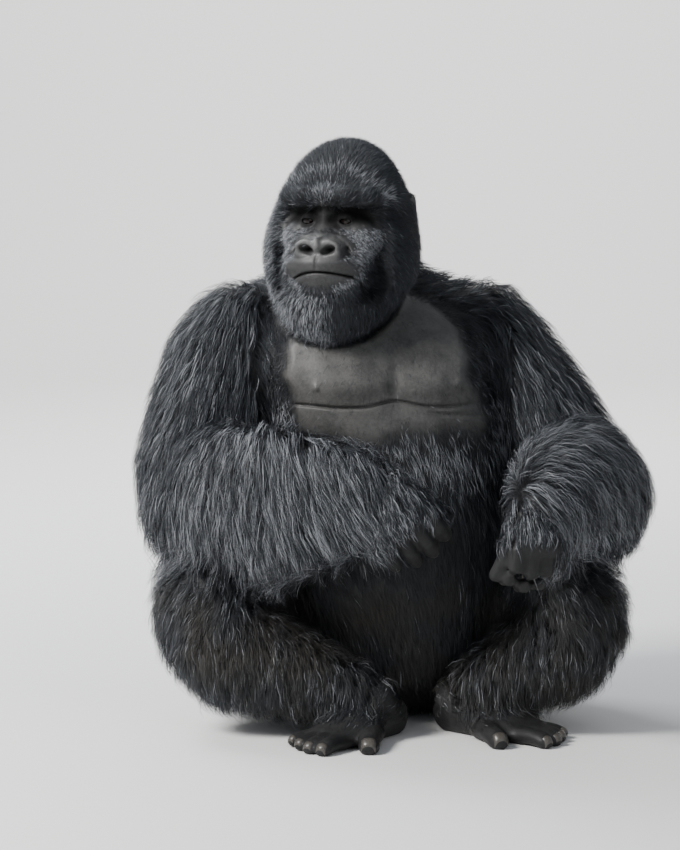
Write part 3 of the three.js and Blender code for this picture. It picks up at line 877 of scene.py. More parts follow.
# %% The markings
MARKINGS = bpy.data.node_groups.new("markings", "ShaderNodeTree")
MARKINGS.interface.new_socket("Place", in_out="INPUT", socket_type="NodeSocketVector")
for label in ("Silver", "Warm"):
    MARKINGS.interface.new_socket(label, in_out="OUTPUT", socket_type="NodeSocketFloat")
nodes = Nodes(MARKINGS)
place = nodes.add("NodeGroupInput").outputs["Place"]
x, y, z = nodes.add("ShaderNodeSeparateXYZ", {0: place}).outputs
wander = nodes.noise(place, 9.0)
height = nodes.plus(z, nodes.times(wander, 0.10))
saddle = nodes.times(nodes.step(y, 0.07, 0.20), nodes.step(height, 0.16, 0.30))
saddle = nodes.times(saddle, nodes.step(height, 0.74, 0.60))
lift = nodes.math("MAXIMUM", nodes.math("SUBTRACT", z, 0.3), 0.0)
edge = nodes.plus(nodes.math("ABSOLUTE", x), nodes.times(lift, 0.5))
saddle = nodes.times(saddle, nodes.step(edge, 0.36, 0.29))
low = nodes.times(nodes.step(z, 0.36, 0.20), nodes.step(wander, 0.3, 0.7))
nodes.add("NodeGroupOutput", {"Silver": saddle, "Warm": low})


def marks(nodes, place):
    """The outputs of the markings at a place."""
    return nodes.add("ShaderNodeGroup", {"Place": place}, node_tree=MARKINGS).outputs


report("markings of", len(MARKINGS.nodes), "nodes")

# %% [markdown]
# ## Hair
#
# Gorilla hair is nearly black with a blue-grey sheen, and single pale hairs frost it. The
# hair's own UV map carries what a ribbon needs to know: U is a number of its own,
# whose fraction picks the tint and which is above 1 on a pale hair, and V says how far
# along the ribbon a place is. Roots are darkest, because little light gets down there.

# %% Hair
HAIR, shader = new_material("coat hair")
nodes = Nodes(HAIR.node_tree)
mark = marks(nodes, nodes.place())
tag = nodes.add("ShaderNodeSeparateXYZ", {0: nodes.add("ShaderNodeUVMap", uv_map="hair").outputs[0]})
tint, reach = nodes.math("FRACT", tag.outputs[0]), tag.outputs[1]
is_pale = nodes.math("GREATER_THAN", tag.outputs[0], 1.0)
dark = nodes.mix(tint, (0.009, 0.010, 0.012, 1), (0.042, 0.047, 0.056, 1))
warm = nodes.mix(tint, (0.014, 0.013, 0.012, 1), (0.055, 0.050, 0.044, 1))
silver = nodes.mix(tint, (0.10, 0.105, 0.11, 1), (0.34, 0.345, 0.35, 1))
pale = nodes.mix(tint, (0.13, 0.137, 0.15, 1), (0.34, 0.353, 0.38, 1))
base = nodes.mix(mark["Warm"], dark, warm)
base = nodes.mix(nodes.times(is_pale, nodes.step(reach, 0.0, 0.6)), base, pale)
base = nodes.mix(mark["Silver"], base, silver)
base = nodes.mix(nodes.step(reach, 0.45, 0.0, 0.0, 0.75), base, (0.004, 0.004, 0.005, 1))
nodes.put(base, shader.inputs["Base Color"])
nodes.put(nodes.step(tint, 0.0, 1.0, 0.50, 0.68), shader.inputs["Roughness"])
shader.inputs["Specular IOR Level"].default_value = 0.28
report("hair material")

# %% [markdown]
# ## Skin
#
# The breast is dark grey leather and the face is blacker, with a net of fine creases.
# Four numbers stored on the corners of the skin steer it: `bare` where no coat
# covers it, `face` where it is black, one for the painted shade under the brow, in the
# nostrils and in the line of the lips, for the darker lids, partly painted shade, and
# for the really darker hands and feet, and one on the nose pad, which shines and is
# painted paler as a painted sheen. The net is bump: it is finer than the mesh.

# %% Bare skin
SKIN, shader = new_material("bare skin")
nodes = Nodes(SKIN.node_tree)
place = nodes.place()
painted_shade_and_dark_skin = nodes.layer("painted_shade_and_dark_skin")
wet = nodes.layer("wet")
speckle = nodes.noise(place, 170.0, 4.0, 0.7)
patches = nodes.plus(nodes.times(nodes.noise(place, 22.0, 4.0), 0.55), nodes.times(speckle, 0.45))
patches = nodes.step(patches, 0.34, 0.66)
grey = nodes.mix(patches, (0.040, 0.039, 0.038, 1), (0.080, 0.078, 0.075, 1))
black = nodes.mix(patches, (0.014, 0.014, 0.015, 1), (0.036, 0.036, 0.037, 1))
shown = nodes.mix(nodes.layer("face"), grey, black)
# painted sheen: the nose pad is painted paler, standing in for the highlight on its wet skin
painted_sheen_share = nodes.times(wet, nodes.step(speckle, 0.3, 0.7, 0.6, 1.0))
shown = nodes.mix(painted_sheen_share, shown, (0.12, 0.12, 0.12, 1))
# painted shade: skin under the brow, in the nostrils and the lip line darkened; the lids partly, and hands
# and feet are really darker
shown = nodes.mix(painted_shade_and_dark_skin, shown, (0.003, 0.003, 0.003, 1))
under = nodes.mix(marks(nodes, place)["Silver"], (0.006, 0.006, 0.007, 1), (0.05, 0.05, 0.052, 1))
nodes.put(nodes.mix(nodes.layer("bare"), under, shown), shader.inputs["Base Color"])

relief = nodes.times(nodes.step(nodes.cells(place, 130.0), 0.0, 0.10), 0.7)
relief = nodes.plus(nodes.step(nodes.cells(place, 420.0), 0.0, 0.14), relief)
relief = nodes.plus(relief, nodes.noise(place, 420.0, 2.0, 0.6))
bump = nodes.add("ShaderNodeBump", {"Height": relief, "Strength": 0.35, "Distance": 0.0012})
nodes.put(bump.outputs[0], shader.inputs["Normal"])
rough = nodes.step(patches, 0.3, 0.7, 0.42, 0.58)
rough = nodes.math("SUBTRACT", rough, nodes.times(wet, 0.14))
rough = nodes.plus(rough, nodes.times(painted_shade_and_dark_skin, 0.40), clamp=True)
nodes.put(rough, shader.inputs["Roughness"])
shader.inputs["Specular IOR Level"].default_value = 0.20
sheen = nodes.math("SUBTRACT", 0.35, nodes.times(painted_shade_and_dark_skin, 0.35), clamp=True)
nodes.put(sheen, shader.inputs["Coat Weight"])
shader.inputs["Coat Roughness"].default_value = 0.42
skin_mesh.materials.append(SKIN)
report("skin material")

# %% [markdown]
# ## Eyes
#
# A gorilla's eye shows almost no white: a brown iris round a black pupil fills the
# opening. The eyes are the balls of the CAD itself. Rings are drawn by how far a place on
# the ball is from the point it looks with, so no picture is needed, and both eyes share
# one material by taking the nearer of the two points.

# %% Eyes
GAZE_TURN = math.radians(-12.0)
PUPIL, IRIS = 0.0034, 0.0078

EYE, shader = new_material("eye")
nodes = Nodes(EYE.node_tree)
place = nodes.place()
aways = []
for eye in EYES:
    spot = tuple(float(v) for v in eye + EYE_RADIUS * turned(FORWARD, GAZE_TURN))
    away = nodes.add("ShaderNodeVectorMath", {0: place, 1: spot}, operation="DISTANCE")
    aways.append(away.outputs["Value"])
rings = nodes.math("MINIMUM", *aways)
iris = nodes.mix(nodes.step(rings, PUPIL, 0.0075), (0.008, 0.004, 0.002, 1), (0.003, 0.002, 0.002, 1))
iris = nodes.mix(nodes.step(rings, IRIS, 0.0088), iris, (0.005, 0.004, 0.004, 1))
iris = nodes.mix(nodes.step(rings, PUPIL, 0.0029), iris, (0.001, 0.001, 0.001, 1))
nodes.put(iris, shader.inputs["Base Color"])
shader.inputs["Roughness"].default_value = 0.05
shader.inputs["Specular IOR Level"].default_value = 0.22
for side in SIDE_NAMES:
    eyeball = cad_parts[f"eye_{side}"].data
    eyeball.materials.clear()
    eyeball.materials.append(EYE)
report("eyes of radius", round(EYE_RADIUS, 4))

# %% [markdown]
# ## The joints under the coat
#
# Where hair runs and where nails sit depends on the limbs, so the joints come back here
# by name. They are given in millimetres in the frame in which the solids were drawn, and
# moved to the middle of the ground that the animal covers.

# %% Joints
SHIFT = np.array([-0.0066, 0.0733, 0.0])
DOWN = np.array([0.0, 0.0, -1.0])
SIGNS = (-1, 1)


def joint(x, y, z):
    return np.array([x, y, z]) / 1000.0 + SHIFT


SHOULDERS = [joint(-278, -8, 718), joint(182, 88, 722)]
ELBOWS = [joint(-396, -140, 398), joint(402, -80, 400)]
WRISTS = [joint(-28, -338, 462), joint(254, -404, 424)]
KNUCKLES = [joint(30, -376, 388), joint(262, -440, 356)]
HIPS = [joint(-125, 120, 165), joint(125, 130, 165)]
KNEES = [joint(-326, -222, 240), joint(342, -212, 250)]
ANKLES = [joint(-44, -262, 74), joint(130, -232, 76)]
HEAD_MIDDLE = joint(-84, -62, 910)


def unit(vectors):
    """Vectors brought to the length 1."""
    return vectors / np.maximum(np.linalg.norm(vectors, axis=-1, keepdims=True), 1e-9)


def along(points, start, end):
    """How far along a line each place is: 0 at its start and 1 at its end."""
    way = end - start
    return ((points - start) @ way) / (way @ way)


report("upper arms", [round(float(np.linalg.norm(ELBOWS[k] - SHOULDERS[k])), 3) for k in (0, 1)], "m long")

# %% [markdown]
# ## Where the digits end
#
# An ape has flat nails, as we do. To set them, the tips of the digits are needed: each
# digit is three bones in a row, and each bone bends a little more than the one before,
# so the last direction is ahead cos b + under sin b for the sum b of the bends.

# %% Where the digits end
BONES = (0.42, 0.32, 0.26)
FINGER = 0.108


def digit_ends(roots, ahead, under, lengths, bends):
    """Tips and last directions of digits of three bones, and the way up from their nails."""
    tips = np.array(roots, float)
    bend = 0.0
    for share, turn in zip(BONES, np.radians(bends)):
        bend += turn
        way = np.cos(bend) * ahead + np.sin(bend) * under
        tips = tips + share * np.asarray(lengths)[:, None] * way
    return tips, way, np.sin(bend) * ahead - np.cos(bend) * under


def finger_ends(wrist, knuckles, across, half, bends):
    """The four fingers of a hand, from the forefinger to the little finger."""
    ahead = unit(knuckles - wrist)
    side = unit(np.array(across) - ahead * np.dot(across, ahead))
    under = np.cross(ahead, side)
    under = under * (-1.0 if under[1] < 0 else 1.0)
    i = np.arange(4)[:, None]
    roots = knuckles + side * (1.5 - i) * half * 0.5 - ahead * (0.012 + 0.005 * np.abs(1 - i))
    fanned = unit(ahead + side * (1.5 - i) * 0.05)
    lengths = FINGER * np.array([0.86, 0.98, 1.0, 0.84])
    return (*digit_ends(roots, fanned, under, lengths, bends), 0.0175 - 0.0008 * i[:, 0])


def toe_ends(heel, heading, inside):
    """The four toes of a foot and its big toe, which stands out like a thumb."""
    turn = math.radians(heading)
    ahead = np.array([math.sin(turn), -math.cos(turn), 0.0])
    side = np.array([math.cos(turn), math.sin(turn), 0.0]) * inside
    i = np.arange(4)[:, None]
    reach = 0.192 - 0.005 * i - 0.002 * np.abs(1 - i)
    roots = joint(*heel, 15.0) + ahead * reach + side * (0.030 - 0.027 * i)
    big = joint(*heel, 20.0) + ahead * 0.104 + side * 0.036
    ways = unit(np.vstack([ahead + side * (1.2 - i) * 0.07, ahead + side * 0.62]))
    toes = digit_ends(roots, ways[:4], DOWN, [0.066, 0.068, 0.062, 0.052], (-6, 14, 10))
    thumb = digit_ends(big[None], ways[4:], DOWN, [0.104], (-2, 8, 8))
    radii = np.append(0.0150 - 0.0009 * i[:, 0], 0.0200)
    return (*(np.vstack(pair) for pair in zip(toes, thumb)), radii)


digits = [
    finger_ends(WRISTS[0], KNUCKLES[0], (0.9, 0.0, 0.42), 0.066, (28, 42, 38)),
    finger_ends(WRISTS[1], KNUCKLES[1], (-0.93, -0.3, 0.1), 0.056, (30, 48, 40)),
    toe_ends((4.0, -214.0), -38.0, 1.0),
    toe_ends((104.0, -178.0), 50.0, -1.0),
]
tips, ways, ups, radii = (np.concatenate([d[k] for d in digits]) for k in range(4))
report("digits", len(tips))

# %% [markdown]
# ## Nails
#
# A nail is a small bent plate on top of the last bone. A grid is laid over each tip and
# dropped on the skin: every corner moves down by its own distance to the skin, a few
# times over, until it touches. The plates bulge in the middle, reach a little into the
# flesh below, and are closed by a rim. All eighteen are one mesh.

# %% Nail plates
COLUMNS, ROWS = 9, 8


def skin_distance(points):
    """The fine block's distance at any places."""
    at = np.stack([np.interp(points[:, a], AXES[a], np.arange(len(AXES[a]))) for a in range(3)], axis=1)
    return mixed(skin, at)


def nail_plates(tips, ways, ups, radii):
    """A grid on each tip, dropped on the skin, with an outer and an inner side."""
    u, v = np.meshgrid(np.linspace(-1, 1, COLUMNS), np.linspace(0, 1, ROWS), indexing="ij")
    v_bent = v * (1.0 - 0.16 * u ** 2) + 0.08 * u ** 2
    across = np.cross(ways, ups)
    size = radii[:, None, None, None]
    grid = (tips[:, None, None] + ways[:, None, None] * size * (0.95 * v_bent[None, ..., None] - 0.30)
            + across[:, None, None] * size * 0.66 * u[None, ..., None] + ups[:, None, None] * size * 1.1)
    drop = np.broadcast_to(ups[:, None, None], grid.shape).reshape(-1, 3)
    placed = grid.reshape(-1, 3)
    for _ in range(10):
        placed = placed - drop * (0.9 * np.clip(skin_distance(placed), -0.02, 0.02))[:, None]
    edge = (1.0 - u ** 4) * (1.0 - (2 * v - 1) ** 6)
    lift = np.tile((0.0003 + 0.0011 * edge * (0.6 + 0.6 * v)).ravel(), len(tips))
    outer = (placed + drop * lift[:, None]).reshape(len(tips), -1, 3)
    inner = (placed - drop * 0.0012).reshape(len(tips), -1, 3)
    return np.concatenate([outer, inner], axis=1)


def plate_faces():
    """Quads of one closed plate: outer side, inner side, and the rim between them."""
    grid = np.arange(COLUMNS * ROWS).reshape(COLUMNS, ROWS)
    outer = np.stack([grid[:-1, :-1], grid[1:, :-1], grid[1:, 1:], grid[:-1, 1:]], axis=-1).reshape(-1, 4)
    inner = outer[:, ::-1] + COLUMNS * ROWS
    loop = np.concatenate([grid[:-1, 0], grid[-1, :-1], grid[:0:-1, -1], grid[0, :0:-1]])
    ahead = np.roll(loop, -1)
    rim = np.stack([loop, loop + COLUMNS * ROWS, ahead + COLUMNS * ROWS, ahead], axis=1)
    return np.concatenate([outer, inner, rim])


def signed_volume(points, quads):
    """The volume inside closed quads: positive when the faces point outwards."""
    a, b, c, d = (points[quads[:, k]] for k in range(4))
    return float((np.cross(a, b) * c + np.cross(a, c) * d).sum() / 6.0)


plates = nail_plates(tips, ways, ups, radii)
corners = plates.reshape(-1, 3)
faces = (plate_faces()[None] + (plates.shape[1] * np.arange(len(plates)))[:, None, None]).reshape(-1, 4)
nails = add_quads("nails", corners, faces)
NAIL, shader = new_material("nail")
nodes = Nodes(NAIL.node_tree)
horn = nodes.mix(nodes.noise(nodes.place(), 300.0, 2.0), (0.035, 0.031, 0.027, 1), (0.090, 0.082, 0.072, 1))
nodes.put(horn, shader.inputs["Base Color"])
shader.inputs["Roughness"].default_value = 0.34
nails.data.materials.append(NAIL)
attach(nails, "root")
report("nail faces", len(faces), "pointing outwards:", signed_volume(corners, faces) > 0)

# %% [markdown]
# ## How thick is the coat here?
#
# A hair has to know how far it is above the skin and how far the outline still is, and
# which way is out. One block holds these five numbers side by side: distance to the
# skin, distance to the outline, and the slope of the first, which points straight out.

# %% Thickness and slope of the coat
coarse_skin = np.minimum.reduce(list(skin_parts.values()))
slopes = np.gradient(blurred(coarse_skin, 0.8), VOXEL)
steepness = np.sqrt(sum(s * s for s in slopes)) + 1e-6
coat_fields = np.stack([coarse_skin, outline, *(s / steepness for s in slopes)], axis=-1)
report("coat fields", coat_fields.shape)


def field_at(points):
    """Distance to the skin, distance to the outline, and the way out, at any places."""
    return mixed(coat_fields, (points - body_block.low) / VOXEL)


# %% [markdown]
# ## The lie of the coat
#
# Hair runs in streams: back over the crown, down the upper arms, and on a forearm that is
# held up it spills over the upper edge and hangs. Each solid has its own stream, as a
# function of place, and a root takes the stream of the solid that it grows on.

# %% Streams of head and trunk
def stream_head(p):
    """Up and back from the brow, down the cheeks, and down and forward in the beard."""
    a, f, u = in_face(*p.T)
    side = np.sign(a) * smooth(np.abs(a), 0.0, 60.0)
    front = fade(np.abs(a), 84.0, 112.0)
    crown = np.maximum(smooth(u, 20.0, 60.0), front * smooth(u, 6.0, 22.0))
    beard = smooth(-u, 100.0, 150.0)
    back = (0.9 * crown + 0.35) * (1.0 - 1.1 * beard)
    out = side * (0.45 + 0.35 * crown) * (1.0 - 0.7 * beard)
    rise = 0.95 * crown * fade(-f, 60.0, 130.0) - (1.0 - crown)
    return -FORWARD * back[:, None] + ACROSS * out[:, None] - DOWN * rise[:, None]


def stream_face(p):
    """Short hairs: up and outwards from the brow, down and outwards on cheeks and chin."""
    a, f, u = in_face(*p.T)
    above = smooth(u, 18.0, 34.0)
    out = np.clip(a / 30.0, -1.0, 1.0) * (0.8 - 0.2 * above)
    return ACROSS * out[:, None] - DOWN * (2.0 * above - 1.0)[:, None] - FORWARD * 0.3


def stream_trunk(p):
    """Down the back and flanks, down and inwards on the belly, outwards on the shoulders."""
    x, y, z = p.T
    front = fade(y, -0.06, 0.06)
    top = smooth(z, 0.72, 0.80)
    inward = 0.55 * front * np.clip((0.15 - x) / 0.3, -1.0, 1.0)
    outward = 0.8 * top * np.clip((x + 0.06) / 0.1, -1.0, 1.0)
    return np.stack([inward + outward, -0.15 * front + 0.9 * top, np.full(len(p), -1.0)], axis=1)


def stream_down(p):
    """The down on the breast lies downwards, and a little outwards."""
    return np.stack([p[:, 0] - BREASTBONE, np.zeros(len(p)), np.full(len(p), -0.25)], axis=1)


# %% [markdown]
# ## Streams of the limbs
#
# On most of a limb the hair lies one way, a mix of the limb's own direction and of
# straight down. The forearms are different: the right one lies across the belly, and its
# hair fans out towards elbow and wrist as it hangs; on the left one it rays out from a
# parting near the wrist.

# %% Streams of the limbs
PARTING = np.array([0.180, -0.30, 0.462])


def steady(direction):
    """A stream that runs the same way everywhere."""
    return lambda p: np.tile(direction, (len(p), 1))


def stream_arm(side):
    sweep = np.array([SIGNS[side] * 0.12, 0.0, 0.0])
    return steady(0.7 * unit(ELBOWS[side] - SHOULDERS[side]) + 0.5 * DOWN + sweep)


def stream_leg(start, end, side):
    out = np.array([SIGNS[side] * 0.22, -0.05, 0.0])
    return steady(0.85 * DOWN + 0.25 * unit(end[side] - start[side]) + out)


def stream_hand(side):
    return steady(unit(KNUCKLES[side] - WRISTS[side]) + 0.35 * DOWN)


def stream_foot(side):
    low, high = box(f"foot_{SIDE_NAMES[side]}")
    toes = np.array([(low[0] + high[0]) / 2 + SIGNS[side] * 0.05, low[1], 0.0])
    return steady(unit(toes - ANKLES[side]))


def stream_forearm_right(p):
    """Spills forward over the upper edge and hangs, fanned towards elbow and wrist."""
    fan = -0.30 + 0.85 * smooth(along(p, ELBOWS[0], WRISTS[0]), 0.15, 1.0)
    return DOWN + np.array([0.0, -0.35, 0.0]) + fan[:, None] * unit(WRISTS[0] - ELBOWS[0])


def stream_forearm_left(p):
    """Rays from a parting near the wrist, pulled down by their weight."""
    rays = unit((p - PARTING) * np.array([1.0, 0.4, 1.0]))
    return rays + 0.55 * DOWN + np.array([0.12, 0.0, 0.0])


# %% [markdown]
# ## Roots
#
# A root is a random place on a random triangle of the skin. Triangles are picked in
# proportion to their area and to how much hair is wanted there. The square root of
# the first random number spreads the roots evenly; without it they would crowd in one
# corner. The random numbers start from a fixed seed, so each run gives the same animal.

# %% Roots on the skin
SEED = 12
rng = np.random.default_rng(SEED)
points, triangles = arrays_of(skin_mesh)
points = points.astype(float)
corners = points[triangles]
middles = corners.mean(axis=1)
face_normals = np.cross(corners[:, 1] - corners[:, 0], corners[:, 2] - corners[:, 0])
areas = np.linalg.norm(face_normals, axis=1) / 2
face_normals = unit(face_normals)


def nearest_node(places):
    """The number of the solid that each place is in or nearest to."""
    at = np.round((places - body_block.low) / VOXEL).astype(int)
    at = tuple(np.clip(at, 0, np.array(body_block.shape) - 1).T)
    return np.argmin([node_fields[name][at] for name in NODES], axis=0)


owners = nearest_node(middles)


def roots_on(nodes, spacing, wanted):
    """Random roots on the skin of some solids, about `spacing` apart where wanted is 1."""
    here = np.isin(owners, [NODES.index(n) for n in nodes])
    weight = areas * here * wanted(middles, face_normals)
    count = int(weight.sum() / spacing ** 2)
    edges = np.cumsum(weight)
    picks = np.searchsorted(edges, (np.arange(count) + rng.random(count)) / count * edges[-1])
    picks = np.minimum(picks, len(areas) - 1)
    r1, r2 = np.sqrt(rng.random(count)), rng.random(count)
    parts = np.stack([1 - r1, r1 * (1 - r2), r1 * r2], axis=1)
    return (corners[picks] * parts[:, :, None]).sum(axis=1), face_normals[picks]


report("skin triangles", len(triangles), "of area", round(float(areas.sum()), 2), "m2")

# %% [markdown]
# ## Numbers for the skin's material
#
# The material asked for four numbers on every corner of the skin. They are worked
# out from the same masks that shape the body, so that colour and form agree: painted
# shade darkens the skin under the brow, in the nostrils and between the lips, the lids
# are darker, partly as painted shade, and a painted sheen makes the nose pad paler.

# %% Numbers on the skin
HANDS_AND_FEET = ["hand_right", "hand_left", "foot_right", "foot_left"]


def painted_shade_and_dark_skin_at(points):
    """Painted shade under the brow, in the nostrils and the lip line; darker lids, partly painted shade;
    darker hands and feet.
    """
    a, f, u = in_face(*points.T)
    # painted shadow of the brow on the band of skin under it, a little lighter over the bridge
    band = smooth(u, -16.0, 2.0) * fade(u, 27.0, 34.0)
    band = band * fade(np.abs(a), 80.0, 98.0) * smooth(f, -44.0, -14.0)
    band = band * (0.80 + 0.20 * smooth(np.abs(a), 10.0, 20.0))
    # darker lids: partly their own black skin, partly painted shade
    lid = np.exp(-((np.abs(a) - 34.0) / 20.0) ** 4 - (u / 13.0) ** 4) * smooth(f, -30.0, -10.0)
    # painted shade in the nostrils
    nostril = bell(np.abs(a) - 20.5, 11.0) * bell(u + 51.0, 6.0) * smooth(f, 30.0, 40.0)
    # painted shade in the line between the lips
    lips = bell(u - mouth_line(a), 1.7)
    lips = lips * fade(np.abs(a), 66.0, 84.0) * smooth(f, 0.0, 12.0)
    return np.maximum.reduce([band, 0.9 * lid, nostril, 0.9 * lips, 0.5 * box_mask(points, HANDS_AND_FEET)])


def nose_gloss_and_painted_sheen(points):
    """The shinier skin of the nose pad and of the rims of the nostrils, painted paler as a painted sheen."""
    a, f, u = in_face(*points.T)
    pad = np.exp(-((np.abs(a) / 40.0) ** 4) - ((u + 44.0) / 22.0) ** 4) * smooth(f, 24.0, 42.0)
    hole = bell(np.abs(a) - 20.5, 12.0) * bell(u + 51.0, 7.0)
    return pad * (1.0 - 0.8 * hole)


on_arms = np.isin(nearest_node(points), [k for k, name in enumerate(NODES) if "arm" in name])
layers = {
    "bare": np.clip(bareness(points) * 2.0, 0.0, 1.0) * (1.0 - on_arms),
    "face": np.maximum(face_mask(*in_face(*points.T)), box_mask(points, DETAILS)),
    "painted_shade_and_dark_skin": painted_shade_and_dark_skin_at(points),
    "wet": nose_gloss_and_painted_sheen(points),
}
for name, values in layers.items():
    layer = skin_mesh.attributes.new(name, "FLOAT", "POINT")
    layer.data.foreach_set("value", values.astype(np.float32))
report("mean of", {name: round(float(values.mean()), 3) for name, values in layers.items()})

# %% [markdown]
# ## Walking a hair
#
# A hair walks away from its root in equal steps. At each step it keeps to the stream,
# bends down a little more under its weight, and climbs towards its own share of the
# coat's thickness, so that the tips end at the outline of the solids. The climb per step
# is lift; what is left for the walk along the skin is the square root of 1 - lift squared.

# %% Walk
WALK_GROUND = 0.003
THINNEST_COAT = 0.004


def walk(roots, normals, stream, length, reach, spec):
    """Curves of equal steps from their roots, all of them at once."""
    steps = spec["steps"]
    start = field_at(roots)
    place = roots.copy()
    curve = [roots.copy()]
    pace = length / steps
    phase = rng.random((len(roots), 2)) * 2 * math.pi
    for k in range(1, steps + 1):
        here = field_at(place)
        normal = unit(here[:, 2:5]) if k > 1 else unit(unit(here[:, 2:5]) + normals)
        flow = unit(stream(place)) + spec["gravity"] * (k / steps) * DOWN
        flow = unit(flow - (flow * normal).sum(axis=1, keepdims=True) * normal)
        swing = spec["wave"] * np.sin(phase[:, 0] + 5.2 * k / steps + 2.0 * phase[:, 1])
        flow = unit(flow + swing[:, None] * np.cross(normal, flow))
        thick = np.maximum(here[:, 0] - here[:, 1], THINNEST_COAT)
        target = thick * reach * math.sin(math.pi / 2 * min(1.0, k / steps / spec["rise"]))
        height = here[:, 0] - start[:, 0] * (1 - k / steps)
        lift = np.clip((target - height) / pace, -0.8, 0.93)
        place = place + pace[:, None] * (flow * np.sqrt(1 - lift ** 2)[:, None] + normal * lift[:, None])
        place[:, 2] = np.maximum(place[:, 2], WALK_GROUND)
        curve.append(place.copy())
    return np.stack(curve, axis=1)


# %% [markdown]
# ## Ribbons
#
# Real hair would take millions of strands. Tapered ribbons about a millimetre wide,
# each turned at random about its curve, catch the light in much the same way. They
# widen a little from the root and end in a point. Each region of the coat is one mesh
# with two UV maps: `OFBake` gives each ribbon a small patch at its root's place on an
# unwrap of the skin, and `hair` carries the ribbon's own number and the reach along it.

# %% Ribbons into a mesh
PATCH = 0.003
RIBBON_GROUND = 0.0005


def ribbons(curves, normals, width, twist):
    """A tapered strip along each curve, turned about it by `twist`: corners and their t."""
    t = np.linspace(0.0, 1.0, curves.shape[1])
    ways = unit(np.gradient(curves, axis=1))
    aside = unit(np.cross(ways, normals[:, None, :]))
    over = np.cross(ways, aside)
    aside = np.cos(twist)[:, None, None] * aside + np.sin(twist)[:, None, None] * over
    half = 0.5 * width[:, None] * (0.55 + 0.9 * t - 1.45 * t ** 2.2)
    left = curves[:, :-1] - aside[:, :-1] * half[:, :-1, None]
    right = curves[:, :-1] + aside[:, :-1] * half[:, :-1, None]
    sides = np.stack([left, right], axis=2).reshape(len(curves), -1, 3)
    strips = np.concatenate([sides, curves[:, -1:]], axis=1)
    strips[..., 2] = np.maximum(strips[..., 2], RIBBON_GROUND)
    return strips, t


def round_line(start, end, length):
    """An unwrap round a line: the angle about it, and the place along it, both from 0 to 1."""
    way = unit(end - start)
    side = unit(np.cross(way, np.array([0.31, 0.9, 0.3])))
    other = np.cross(way, side)

    def unwrap(p):
        offset = p - start
        angle = np.arctan2(offset @ side, offset @ other) / (2 * math.pi) + 0.5
        place = (offset @ way) / length
        return np.stack([0.004 + 0.992 * angle, np.clip(0.1 + 0.8 * place, 0.003, 0.997)], axis=1)
    return unwrap


def add_coat(name, batches, unwrap):
    """One mesh of all ribbons of a region; gives back how many triangles it has."""
    all_strips, loops, starts, bake, hair = [], [], [], [], []
    for curves, normals, width, twist, shade in batches:
        strips, t = ribbons(curves, normals, width, twist)
        count, per = strips.shape[:2]
        quads = per // 2 - 1
        pattern = [2 * k + corner for k in range(quads) for corner in (0, 1, 3, 2)]
        pattern = np.array(pattern + [per - 3, per - 2, per - 1])
        nth = np.arange(count)[:, None]
        starts.append((sum(map(len, loops)) + len(pattern) * nth + 4 * np.arange(quads + 1)).ravel())
        loops.append((sum(map(len, all_strips)) + per * nth + pattern).ravel())
        all_strips.append(strips.reshape(-1, 3))
        across = np.array([0.0, 1.0] * (quads + 1) + [0.5])
        up = np.append(np.repeat(t[:-1], 2), 1.0)
        patch = unwrap(curves[:, 0])[:, None] + PATCH * (np.stack([across, up], axis=1) - 0.5)
        tag = np.stack(np.broadcast_arrays(shade[:, None], up), axis=-1)
        bake.append(patch[:, pattern].reshape(-1, 2))
        hair.append(tag[:, pattern].reshape(-1, 2))
    loops, starts = np.concatenate(loops), np.concatenate(starts)
    made = add_mesh(name, np.concatenate(all_strips), loops, starts)
    for label, values in (("OFBake", bake), ("hair", hair)):
        layer = made.data.uv_layers.new(name=label)
        layer.data.foreach_set("uv", np.concatenate(values).astype(np.float32).ravel())
    made.data.materials.append(HAIR)
    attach(made, "root")
    triangle_count = len(loops) - 2 * len(starts)
    report(name, "triangles", triangle_count)
    return triangle_count


# %% [markdown]
# ## Locks
#
# A lock is a bundle of ribbons that start apart and lean towards one curve, as hair
# does when it is a little greasy. So only one curve per lock is walked through the coat,
# and its ribbons are copies that draw closer to it, each with a little flutter of its
# own. Each copy's root is then moved back on to the skin, and just under it. The short
# hairs of the face need no walk: they rise straight out of the skin and lean over.

# %% Locks and short tufts
USUAL = dict(rise=0.6, frizz=0.001, contrast=1.0)
SUNK = 0.0015
LOCK_GROUND = 0.002


def for_each(value, roots):
    """A number for each root: the same for all, or what a function gives at its place."""
    return value(roots) if callable(value) else np.full(len(roots), value)


